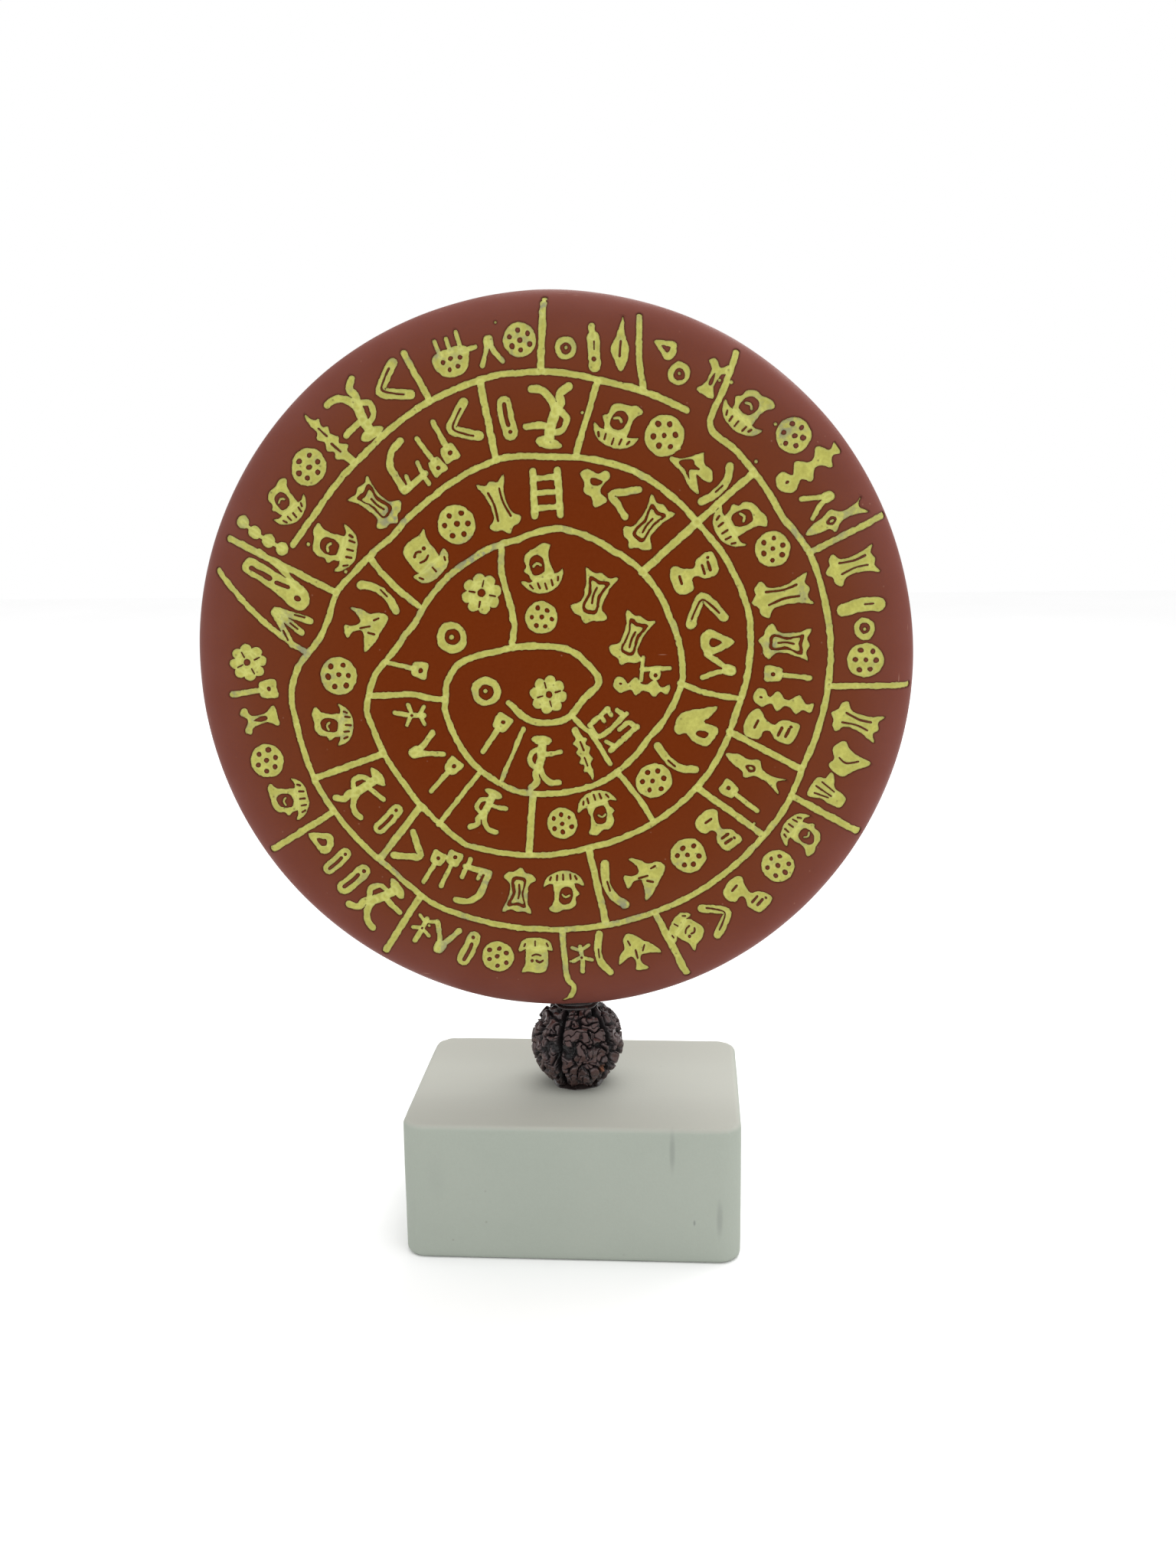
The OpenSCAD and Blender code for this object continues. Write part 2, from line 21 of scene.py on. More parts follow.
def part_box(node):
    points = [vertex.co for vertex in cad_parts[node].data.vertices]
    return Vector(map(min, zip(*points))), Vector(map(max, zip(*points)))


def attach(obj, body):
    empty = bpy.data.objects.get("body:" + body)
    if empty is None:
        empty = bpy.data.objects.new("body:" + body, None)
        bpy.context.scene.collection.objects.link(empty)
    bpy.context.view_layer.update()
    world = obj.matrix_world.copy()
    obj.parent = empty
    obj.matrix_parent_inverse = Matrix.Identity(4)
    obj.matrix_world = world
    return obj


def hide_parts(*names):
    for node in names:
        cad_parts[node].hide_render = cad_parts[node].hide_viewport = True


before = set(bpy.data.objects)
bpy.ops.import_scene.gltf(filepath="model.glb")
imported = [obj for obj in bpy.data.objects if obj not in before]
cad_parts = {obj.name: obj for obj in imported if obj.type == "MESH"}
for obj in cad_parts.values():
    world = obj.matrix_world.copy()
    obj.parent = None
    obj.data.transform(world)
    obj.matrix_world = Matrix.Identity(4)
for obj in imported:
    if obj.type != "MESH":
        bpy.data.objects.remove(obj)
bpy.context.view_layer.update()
MM = 0.001
scene = bpy.context.scene
print("nodes:", sorted(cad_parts))

# %% [markdown]
# ## Sizes that the pieces share
#
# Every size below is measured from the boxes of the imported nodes, so nothing is fitted by eye. The face's
# flat part ends where the face coat's node ends, and the rim's rounding is what is left.

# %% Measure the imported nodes
def middle_and_size(node):
    low, high = (Vector(corner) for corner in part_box(node))
    return (low + high) / 2, high - low


block_middle, block_size = middle_and_size("block")
bead_middle, bead_size = middle_and_size("seed_bead")
disc_middle, disc_size = middle_and_size("top_coat_rim")
face_middle, face_size = middle_and_size("top_coat_face")
core_middle, core_size = middle_and_size("disc_core")
ground_middle, ground_size = middle_and_size("ground_coat")
rod_middle, rod_size = middle_and_size("support_rod")

disc_r = disc_size.z / 2
disc_half = disc_size.y / 2
flat_r = face_size.z / 2
rim_edge = disc_r - flat_r
top_depth = face_size.y
ground_depth = (ground_size.y - core_size.y) / 2
block_top = block_size.z
bead_r = bead_size.x / 2
bead_half = bead_size.z / 2
bead_top = block_top + bead_size.z
socket_r = rod_size.x / 2 + 0.2 * MM
print(f"disc radius {disc_r / MM:.1f} mm, flat to {flat_r / MM:.1f}, coat {top_depth / MM:.2f} mm deep")

# %% [markdown]
# ## The camera and the light
#
# The camera stands a little above the disc's middle and slightly to the right, close enough for the block's
# top to open towards the back. The light is a plain soft studio: an all-white room, one large lamp above and
# behind, so the block's top is lighter than its front, and a weak one in front.

# %% Camera
SHOT_HEIGHT_PX = 2048
FOCAL_PX = 1900
SENSOR = 36
camera_data = bpy.data.cameras.new("camera")
camera_data.lens = SENSOR * FOCAL_PX / SHOT_HEIGHT_PX
camera_data.clip_start = 0.01
camera_data.clip_end = 20
camera = bpy.data.objects.new("camera", camera_data)
scene.collection.objects.link(camera)
camera.location = (26 * MM, -325 * MM, 171 * MM)
CAMERA_AZIMUTH, CAMERA_DROP, CAMERA_ROLL = (math.radians(a) for a in (4, 11.6, -0.75))
camera.rotation_euler = (
    Matrix.Rotation(CAMERA_AZIMUTH, 3, "Z") @ Matrix.Rotation(math.pi / 2 - CAMERA_DROP, 3, "X")
    @ Matrix.Rotation(CAMERA_ROLL, 3, "Z")).to_euler()
scene.camera = camera
print(f"lens {camera_data.lens:.1f} mm")

# %% Studio
scene.view_settings.view_transform = "Standard"
world = bpy.data.worlds.new("room")
world.use_nodes = True
room = world.node_tree.nodes["Background"]
room.inputs["Color"].default_value = (1, 1, 1, 1)
room.inputs["Strength"].default_value = 1.0
scene.world = world


def area_lamp(name, place, target, size, power):
    """A square soft box at place that faces target."""
    data = bpy.data.lights.new(name, "AREA")
    data.shape = "SQUARE"
    data.size = size
    data.energy = power
    lamp = bpy.data.objects.new(name, data)
    lamp.location = place
    lamp.rotation_euler = (Vector(target) - Vector(place)).to_track_quat("-Z", "Y").to_euler()
    scene.collection.objects.link(lamp)


aim = (0, 0, disc_middle.z / 2)
area_lamp("back_light", (0.25, 0.5, 0.8), (0, 0.02, 0.03), 0.9, 6)
area_lamp("front_light", (0.2, -0.35, 0.95), aim, 0.8, 2.5)

# %% [markdown]
# ## The disc: two coats cut by hand
#
# The real disc was dipped or painted twice and then cut with a small gouge, so the pictures are thin places
# in the top coat, with soft shoulders, ragged edges and a slightly uneven floor.
#
# A carved sheet like this could be made with booleans, but a hundred pictures with islands make them slow.
# Here every outline goes into one flat triangulation. Each triangle is either cut or standing, and the
# standing ones are then bent round the disc's rim. This keeps every edge exact and every hole real.

# %% Small tools for outlines
SEED = 7
dice = random.Random(SEED)
RIM_ARC = rim_edge * math.pi / 2
FLAT_LIMIT = flat_r + RIM_ARC
CUT_STEP = 0.5 * MM


def clock(angle, radius):
    """A point of the layout from its angle, clockwise from the top, and its radius in mm.

    The layout is not quite concentric with the disc: its middle stands a few millimetres above the disc's
    centre and a little to the right, and the shift fades out towards the top of the rim.
    """
    x, z = radius * math.sin(math.radians(angle)), radius * math.cos(math.radians(angle))
    x, z = (0.986 * x + 0.017 * z + 1.44 - 0.0006 * x * z, 0.984 * z - 0.005 * x + 4.2 - 0.0006 * z * z)
    place = Vector((x, z)) * disc_r / 80
    if place.length > flat_r:
        over = min(1, (place.length - flat_r) / rim_edge)
        place *= (flat_r + rim_edge * math.asin(over)) / place.length
    return place


def through(points, closed, parts=8):
    """A smooth Catmull-Rom curve through the points."""
    pts = [Vector(p) for p in points]
    count = len(pts)
    curve = []
    for i in range(count if closed else count - 1):
        if closed:
            a, b, c, d = (pts[(i + k) % count] for k in (-1, 0, 1, 2))
        else:
            a, b, c, d = (pts[min(max(i + k, 0), count - 1)] for k in (-1, 0, 1, 2))
        for k in range(parts):
            t = k / parts
            curve.append(
                (2 * b + (c - a) * t + (2 * a - 5 * b + 4 * c - d) * t * t + (3 * b - a - 3 * c + d) * t**3) / 2
            )
    return curve if closed else curve + [pts[-1]]


def evenly(points, step, closed):
    """The same path with a point every step."""
    pts = np.array([tuple(p) for p in points])
    if closed:
        pts = np.vstack([pts, pts[:1]])
    lengths = np.concatenate([[0], np.cumsum(np.linalg.norm(np.diff(pts, axis=0), axis=1))])
    count = max(6 if closed else 2, round(lengths[-1] / step))
    at = np.linspace(0, lengths[-1], count + 1)
    even = np.column_stack([np.interp(at, lengths, pts[:, k]) for k in range(2)])
    return even[:-1] if closed else even


def side_normals(path, closed):
    """Unit normals, to the left of the way the path runs."""
    if closed:
        way = np.roll(path, -1, axis=0) - np.roll(path, 1, axis=0)
    else:
        way = np.gradient(path, axis=0)
    way /= np.maximum(np.linalg.norm(way, axis=1, keepdims=True), 1e-12)
    return np.column_stack([-way[:, 1], way[:, 0]])


def unsteady(path, normals, amount=0.075 * MM):
    """Moves a path sideways the way a hand does: slow drifts, and small nicks on top."""
    shake = [
        0.8 * noise.noise(Vector((x / MM * 0.4, y / MM * 0.4, SEED)))
        + 0.7 * noise.noise(Vector((x / MM * 1.1, y / MM * 1.1, SEED + 9)))
        + 0.45 * noise.noise(Vector((x / MM * 2.1, y / MM * 2.1, SEED + 5)))
        for x, y in path
    ]
    return path + normals * np.array(shake)[:, None] * amount * 2


print(f"the rim's rounding is {RIM_ARC / MM:.1f} mm long")

# %% [markdown]
# ### Outlines and strokes
#
# Two kinds of outline are enough. A blob is a smooth closed curve. A stroke is a line with a width and round
# ends; a long stroke is kept as a row of short pieces that share their ends, so each stays a simple polygon.
# Each outline also says whether it is cut through the coat or left standing as an island.

# %% Blobs and strokes
def blob(points, cut=True):
    return {"kind": "blob", "points": points, "cut": cut}


def dot(x, y, r, cut=True):
    ring = [(x + r * math.cos(k * math.pi / 4), y + r * math.sin(k * math.pi / 4)) for k in range(8)]
    return blob(ring, cut)


def stroke(points, width, cut=True):
    return {"kind": "stroke", "points": points, "width": width, "cut": cut}


def island(shape):
    return {**shape, "cut": False}


def turned(points, degrees):
    c, s = math.cos(math.radians(degrees)), math.sin(math.radians(degrees))
    return [(x * c - y * s, x * s + y * c) for x, y in points]


# %% [markdown]
# ### The picture signs
#
# The signs are simple pictures: heads with collars, dotted discs, stretched hides, walkers, birds and tools.
# They are drawn here upright in millimetres, the way a stamp cutter would keep a sheet of patterns, and are
# placed, turned and varied later. A pattern is a list: what comes later is cut or left over what is before.

# %% Patterns of the signs
COLLAR_TICKS = [[(-3.2, -2.9), (-2.8, -3.7)], [(-1.6, -3.0), (-1.5, -4.1)], [(0.2, -3.1), (0.2, -4.3)],
                [(1.9, -3.0), (1.8, -4.1)], [(3.3, -2.8), (3.0, -3.5)]]
PATTERNS = {
    "dots": [dot(0, 0, 4.2)] + [dot(x, y, 0.62, False) for x, y in
             [(0.1, 0)] + turned([(0, 2.5)], 0) + turned([(0, 2.6)], 60) + turned([(0, 2.5)], 120)
             + turned([(0, 2.4)], 180) + turned([(0, 2.6)], 240) + turned([(0, 2.5)], 300)],
    "ring": [blob([(-2.6, 0.6), (-1.6, 2.3), (0.4, 2.7), (2.3, 1.7), (2.8, -0.4), (1.4, -2.3), (-1, -2.6),
                   (-2.5, -1.2)]),
             blob([(-1.3, 0.7), (-0.2, 1.5), (1.1, 0.9), (1.4, -0.4), (0.2, -1.3), (-1.1, -0.9)], False),
             dot(0.1, 0.1, 0.45)],
    "head": [blob([(-2.4, -2.2), (-2.9, -0.8), (-3.7, 0.3), (-2.8, 1.1), (-2.7, 2.6), (-1.2, 3.8), (0.6, 3.9),
                   (2.5, 4.4), (4.1, 3.6), (3.1, 2.4), (2.6, 0.6), (2.7, -1.2), (2.4, -2.6), (0, -2.4)]),
             blob([(-1.5, -1.1), (-1.8, 0.7), (-1.1, 2.2), (0.4, 2.6), (1.5, 1.8), (1.5, 0.0), (0.6, -1.2)],
                  False),
             stroke([(-1.2, 0.6), (-0.2, 1.0), (0.5, 0.4)], 0.55),
             blob([(-4.9, -1.5), (-3.3, -2.1), (-1.6, -1.8), (0, -2.0), (1.8, -1.8), (3.5, -2.1), (5.1, -1.4),
                   (4.1, -3.5), (2.2, -4.7), (0, -5.1), (-2.2, -4.7), (-4.0, -3.5)])]
            + [stroke(tick, 0.42, False) for tick in COLLAR_TICKS],
    "mask": [blob([(-2.8, -2.2), (-3.0, 1.2), (-2.4, 3.6), (0, 4.3), (2.2, 3.9), (3.9, 4.2), (2.9, 1.8),
                   (2.6, -2.2), (0, -2.6)]),
             stroke([(-1.6, 1.0), (-0.7, 1.5), (0.1, 1.0)], 0.5, False), dot(1.2, 1.1, 0.42, False),
             stroke([(-1.2, -0.6), (0, -0.9), (1.0, -0.5)], 0.45, False),
             blob([(-4.3, -1.7), (-2, -2.2), (0, -1.9), (2, -2.2), (4.5, -1.5), (3.4, -4.3), (0, -5.2),
                   (-3.3, -4.4)])]
            + [stroke(tick, 0.36, False) for tick in COLLAR_TICKS[::2]],
    "hide": [blob([(-3.7, 4.6), (-1.7, 3.8), (0, 4.4), (1.7, 3.8), (3.7, 4.6), (2.6, 2.3), (2.1, 0),
                   (2.5, -1.9), (4.2, -2.9), (3.0, -4.0), (1.5, -4.1), (0, -5.1), (-1.5, -4.1), (-3.0, -4.0),
                   (-4.2, -2.9), (-2.5, -1.9), (-2.1, 0), (-2.6, 2.3)]),
             stroke([(-1.4, 2.7), (-1.0, 0.4), (-1.5, -2.3)], 0.42, False),
             stroke([(1.3, 2.6), (1.0, 0.2), (1.6, -2.4)], 0.4, False)],
    "skin": [blob([(-4.0, 4.6), (-1.7, 4.1), (0, 4.5), (1.7, 4.1), (4.0, 4.6), (2.9, 2.3), (2.5, 0),
                   (2.7, -1.7), (4.5, -2.9), (3.1, -4.1), (1.5, -4.3), (0, -5.3), (-1.5, -4.3), (-3.1, -4.1),
                   (-4.5, -2.9), (-2.7, -1.7), (-2.5, 0), (-2.9, 2.3)]),
             blob([(-2.5, 3.3), (0, 3.1), (2.5, 3.3), (1.6, 0.6), (1.9, -2.6), (0, -3.2), (-1.9, -2.6),
                   (-1.6, 0.6)], False),
             blob([(-1.7, 2.6), (0, 2.4), (1.7, 2.6), (0.9, 0.4), (1.3, -2.2), (0, -2.6), (-1.3, -2.2),
                   (-0.9, 0.4)]),
             stroke([(0, 1.5), (-0.2, 0), (0.1, -1.5)], 0.42, False)],
    "chevron": [stroke([(3.3, 4.3), (0.4, 2.5), (-2.2, 0.4), (0.3, -1.9), (3.1, -3.8)], 2.3),
                stroke([(2.2, 3.6), (0.4, 2.4), (-1.6, 0.4), (0.3, -1.8), (2.0, -3.1)], 0.42, False)],
    "angle": [stroke([(3.6, 4.2), (0.4, 2.3), (-2.5, 0.4), (0.2, -1.6), (2.9, -3.6)], 1.8)],
    "walker": [stroke([(-3.9, 3.5), (-2.2, 3.6), (-0.4, 2.4), (0.5, 0.6)], 1.3),
               stroke([(0.6, 0.9), (0.3, -1.2), (0.2, -3.2)], 1.7),
               stroke([(0.2, -1.5), (-1.7, -1.7), (-3.9, -2.2)], 1.1),
               stroke([(0.4, 0.6), (1.3, 2.2), (0.9, 3.5), (2.2, 4.8)], 1.4),
               stroke([(0.5, -2.5), (2.3, -1.8), (2.7, 0), (1.5, 0.9)], 1.1),
               blob([(-0.9, -3.2), (-2.0, -4.1), (-0.8, -4.9), (1.4, -4.9), (2.6, -4.2), (1.1, -3.3)])],
    "bird": [blob([(-5.1, -0.7), (-2.7, 0.5), (-1.1, 2.6), (0.1, 4.3), (0.9, 2.9), (1.9, 2.2), (3.7, 2.3),
                   (5.1, 0.3), (3.4, -0.5), (1.6, -0.3), (3.0, -1.8), (4.4, -3.4), (1.8, -3.3), (-1.2, -1.9),
                   (-4.0, -1.6)]),
             blob([(-2.9, -0.5), (-0.8, 1.5), (0.2, 1.0), (1.8, 0.9), (0, -0.6), (1.2, -2.1), (-0.8, -1.1)],
                  False)],
    "eagle": [blob([(-1.5, 4.6), (0.3, 4.8), (1.5, 4.3), (0.9, 2.8), (1.2, 1.1), (2.8, 1.2), (4.8, 2.3),
                    (3.9, 0.1), (2.4, -1.3), (2.2, -3.3), (0.9, -4.7), (-0.8, -3.8), (-2.3, -2.1), (-4.2, -0.2),
                    (-5.2, 2.0), (-3.0, 1.4), (-0.7, 1.2), (-0.4, 2.9)]),
              stroke([(0.1, 1.6), (0, -0.4)], 0.42, False), stroke([(-1.3, 0.3), (-2.0, -0.9)], 0.38, False),
              stroke([(1.0, -1.6), (1.2, -2.7)], 0.38, False)],
    "wave": [stroke([(-1.4, 4.6), (0.2, 2.6), (0.9, 0.2), (0.7, -2.3), (0.1, -4.6)], 1.7),
             stroke([(0.8, 0.9), (0.8, -1.1)], 0.34, False)],
    "bar": [stroke([(0.1, 3.6), (-0.3, 0), (0.2, -3.6)], 2.7),
            stroke([(-0.3, 2.6), (-0.4, 0.9)], 0.36, False)],
    "slot": [stroke([(0.1, 3.2), (-0.1, 0), (0, -3.1)], 3.3),
             stroke([(0.1, 3.1), (-0.1, 0.4), (0, -1.4)], 0.9, False), dot(0, -3.1, 0.45, False)],
    "flask": [stroke([(-0.8, 4.4), (-0.6, 2.4)], 1.4), stroke([(-0.4, 2.2), (0, -0.6), (0.2, -3.6)], 2.6),
              dot(0.1, -2.2, 0.5, False), stroke([(0, 1.4), (0.1, -0.2)], 0.34, False)],
    "leaf": [blob([(-0.1, 5.2), (0.8, 1.6), (2.0, -0.8), (0.7, -4.4), (-0.9, -2.6), (-2.0, -0.6), (-1.0, 1.8)]),
             stroke([(0, 0.7), (0.1, -1.9)], 0.42, False)],
    "tent": [stroke([(0.4, 3.8), (-1.2, 0.4), (-3.2, -3.6)], 1.5), stroke([(0.2, 3.8), (1.2, 0), (3.2, -3.6)], 1.5),
             blob([(-0.9, 4.4), (1.4, 4.6), (1.7, 1.8), (0, 1.0), (-1.4, 1.6)])],
    "kite": [blob([(-1.2, 4.8), (1.6, 2.3), (3.8, 0.2), (2.6, -3.0), (0.8, -2.6), (-1.2, -3.8), (-3.4, -2.2),
                   (-1.9, 0.5)]),
             stroke([(-0.6, 2.4), (0.7, 0.2), (0.2, -1.6)], 0.36, False)],
    "drop": [blob([(0, 3.4), (1.7, 0.9), (2.6, -1.6), (0.9, -2.9), (-1.3, -2.9), (-2.5, -1.5), (-1.4, 1.1)]),
             blob([(0, 0.9), (0.9, -0.9), (0, -1.6), (-0.9, -0.9)], False)],
    "fish": [blob([(-2.3, 4.9), (-0.2, 3.8), (2.4, 5.1), (1.4, 3.1), (1.2, 0.8), (3.3, -0.7), (2.0, -1.4),
                   (1.6, -3.2), (0.3, -5.0), (-1.4, -3.4), (-1.7, -1.5), (-3.0, -0.2), (-1.2, 1.1), (-1.1, 3.1)]),
             blob([(-1.1, -0.4), (0.1, 0.2), (1.2, -0.7), (0, -1.5)], False), dot(0.1, -0.6, 0.4)],
    "hand": [blob([(-0.7, 4.7), (2.1, 4.4), (2.6, 1.6), (2.4, -0.6), (3.6, -3.8), (1.2, -4.6), (-1.8, -4.3),
                   (-2.7, -2.4), (-4.6, -2.2), (-4.1, -0.7), (-1.7, 0.6), (-1.5, 2.9)]),
             stroke([(-0.7, 1.2), (-1.3, -2.7)], 0.4, False), stroke([(0.4, 1.1), (0.1, -3.5)], 0.42, False),
             stroke([(1.3, 0.7), (2.0, -2.9)], 0.4, False)],
    "comb": [blob([(-2.7, 4.6), (2.4, 4.2), (2.8, 1.6), (1.2, 0.1), (1.5, -1.0), (3.9, -1.4), (4.3, -3.5),
                   (2.4, -4.7), (-1.6, -4.6), (-3.5, -3.2), (-1.8, -1.6), (-0.9, 0.2), (-2.7, 1.6)]),
             stroke([(-0.8, 3.2), (1.3, 3.0)], 0.62, False), stroke([(-0.9, 1.9), (1.3, 1.7)], 0.55, False),
             stroke([(-0.7, -2.8), (1.3, -3.0)], 0.5, False), dot(-1.7, 3.3, 0.32, False)],
    "plant": [stroke([(0.5, 4.0), (0, 0.4), (0.1, -3.4)], 1.4), stroke([(0.1, -0.2), (-2.7, 0.9)], 1.2),
              stroke([(0.1, -0.4), (2.8, 0.7)], 1.2), stroke([(0, -2.4), (-2.4, -3.6)], 1.1),
              stroke([(0.1, -2.2), (2.5, -3.4)], 1.1), dot(0, -0.3, 0.35, False)],
    "beads": [blob([(-1.5, 5.0), (1.1, 4.9), (0.8, 3.5), (2.6, 2.6), (1.1, 1.4), (1.0, 0.4), (2.8, -0.7),
                    (1.2, -1.8), (2.6, -3.4), (1.0, -4.9), (-1.9, -4.7), (-2.2, -3.4), (-0.5, -2.4),
                    (-2.6, -1.2), (-0.9, 0.2), (-1.1, 1.2), (-2.8, 2.4), (-0.7, 3.7)]),
              dot(0, -3.6, 0.3, False)],
    "frond": [blob([(0.2, 5.3), (1.0, 3.6), (2.3, 3.3), (1.3, 2.2), (2.5, 1.5), (1.4, 0.6), (2.6, -0.5),
                    (1.5, -1.2), (2.8, -2.3), (1.4, -2.9), (1.6, -4.8), (-0.4, -4.9), (-1.2, -3.1),
                    (-2.6, -2.4), (-1.4, -1.6), (-2.5, -0.6), (-1.4, 0.4), (-2.3, 1.5), (-0.9, 2.2),
                    (-0.8, 3.7)]),
              stroke([(0.1, 2.4), (0.2, 0.8)], 0.34, False), stroke([(0, -0.6), (0.2, -2.3)], 0.36, False)],
    "spade": [stroke([(0, 4.8), (0, -1.2)], 1.15),
              blob([(-1.5, -1.4), (-0.5, -0.9), (0.5, -0.9), (1.5, -1.4), (1.8, -4.4), (0, -4.6), (-1.8, -4.5)]),
              dot(0, -3.0, 0.5, False)],
    "rosette": [dot(0, 0, 2.6)] + [dot(*turned([(0, 3.1)], 45 * k)[0], 1.35) for k in range(8)]
               + [dot(0, 0, 0.85, False)]
               + [stroke(turned([(0, 1.6), (0, 2.9)], 45 * k + 22), 0.34, False) for k in range(0, 8, 2)],
    "fan": [stroke([(x * 0.1, 3.8), (x * 0.5, 0.4), (x, -3.9)], 1.5) for x in (-3.4, 0, 3.2)]
           + [stroke([(x * 0.6, -0.4), (x * 0.9, -2.6)], 0.34, False) for x in (-3.4, 0, 3.2)],
    "feather": [blob([(-1.1, 5.2), (0.6, 5.5), (1.6, 4.6), (1.7, 0), (2.0, -3.7), (0.6, -5.3), (-1.5, -5.1),
                      (-2.2, -3.7), (-1.5, -1.0), (-1.3, 2.2)]),
                stroke([(0, 4.2), (0.2, 1.2)], 0.75, False), stroke([(-0.1, 0), (0.3, -1.8)], 0.6, False),
                stroke([(3.2, 4.4), (2.6, 0.6), (1.4, -3.4)], 0.9), dot(-0.1, -3.6, 0.5, False)],
    "ship": [blob([(-3.6, 1.5), (0, 1.9), (3.5, 1.4), (4.5, 0.0), (2.7, -3.6), (0, -4.4), (-2.6, -3.7),
                   (-4.2, -1)]),
             stroke([(-2.1, 1.0), (-2.2, 4.4)], 1.0), stroke([(0.4, 1.2), (0.5, 4.0)], 1.0),
             stroke([(2.9, 1.0), (3.1, 4.6)], 1.0), stroke([(3.2, 0.3), (6.0, 0.1)], 1.2)]
            + [dot(x, y, 0.55, False) for x, y in [(-2, -0.7), (0, -0.2), (2, -0.7), (-1, -2.4), (1.1, -2.3)]],
    "hook": [stroke([(3.3, 4.4), (0.3, 4.0), (-2.1, 2.0), (-2.6, -0.8), (-3.0, -3.2)], 1.6),
             stroke([(-3.1, -3.3), (0.8, -3.2), (3.2, -3.2)], 1.4), stroke([(2.6, -3.2), (2.4, -5.0)], 1.2),
             stroke([(2.8, -3.0), (3.3, -0.7)], 1.1), stroke([(-1.2, -3.2), (-0.6, -1.3)], 1.0)],
    "ladder": [stroke([(x, 4.3), (x * 1.06, -4.3)], 1.5) for x in (-2.6, 2.6)]
              + [stroke([(-2.4, y), (2.4, y + 0.2)], 1.2) for y in (-2.9, 0, 2.9)],
    "helmet": [blob([(-5.6, 1.7), (-3.2, 1.7), (-1.3, 1.0), (-1.7, 4.5), (0.6, 4.8), (2.9, 4.2), (3.4, 1.2),
                     (2.7, -1.2), (3.8, -2.6), (3.0, -4.1), (0.2, -4.9), (-2.2, -3.1), (-4.0, -0.6)]),
               blob([(0.4, 3.3), (1.8, 3.0), (2.0, 0.9), (0.7, 1.2)], False)],
    "pot": [blob([(-3.8, 2.8), (-2.3, 4.3), (-0.8, 4.1), (0.7, 3.8), (2.5, 5.0), (3.8, 3.6), (2.6, 1.6),
                  (2.1, -0.7), (4.2, -2.2), (3.2, -3.6), (1.4, -4.6), (0.2, -2.5), (-1.9, -1.5), (-2.2, 0.8)]),
            blob([(-0.8, 2.6), (2.2, 2.1), (0.8, 0.9), (-0.7, 1.1)], False)],
    "vase": [blob([(-1.9, 4.4), (-3.0, 3.0), (-1.4, 1.8), (-1.2, -1.8), (-2.4, -4.3), (2.3, -4.4), (1.1, -1.8),
                   (1.3, 1.6), (3.5, 2.6), (2.2, 4.4), (0.4, 2.9)]),
             blob([(0, 1.6), (0.6, -0.6), (0, -2.0), (-0.6, -0.4)], False)],
    "teeth": [stroke([(-4.0, 3.4), (3.9, 3.8)], 1.3), stroke([(-3.5, 3.4), (-3.2, 1.5), (-0.6, 1.4)], 1.1),
              stroke([(-4.0, -0.3), (3.6, -0.1), (3.8, -3.5)], 1.2), stroke([(-3.5, -0.3), (-3.0, -2.2)], 1.2),
              stroke([(-1.6, -3.8), (3.8, -3.6)], 1.2), stroke([(-1.4, -3.8), (-1.2, -2.2)], 1),
              stroke([(0.6, -3.6), (0.8, -2.2)], 1), stroke([(2.6, 3.5), (3.4, 1.6)], 1)],
    "axe": [stroke([(-0.4, 4.4), (0.2, -4.2)], 1.5), stroke([(-3.4, -3.9), (3.6, -4.3)], 1.2),
            blob([(0, 1.4), (2.6, 1.6), (3.6, 0), (2.4, -1.6), (0.2, -1.2)]), dot(1.7, 0, 0.6, False)],
}
# How much wider and taller than its pattern a kind stands on this disc.
PROPORTIONS = {"hide": (0.78, 1.14), "skin": (0.82, 1.1), "fish": (0.64, 1.2), "frond": (0.62, 1.1),
               "comb": (0.8, 1.1), "beads": (0.75, 1.2), "hook": (0.95, 1.15), "walker": (0.95, 1.08),
               "head": (0.95, 1.0), "feather": (0.85, 1.1), "leaf": (1.0, 1.1), "angle": (0.95, 1.0)}
print(len(PATTERNS), "patterns,", sum(len(p) for p in PATTERNS.values()), "outlines")

# %% [markdown]
# ### Where the signs stand
#
# The signs follow the spiral, with their feet towards the middle. The tables give each sign's clock angle and
# its radius on a disc of 80 mm, so the layout grows with the disc.

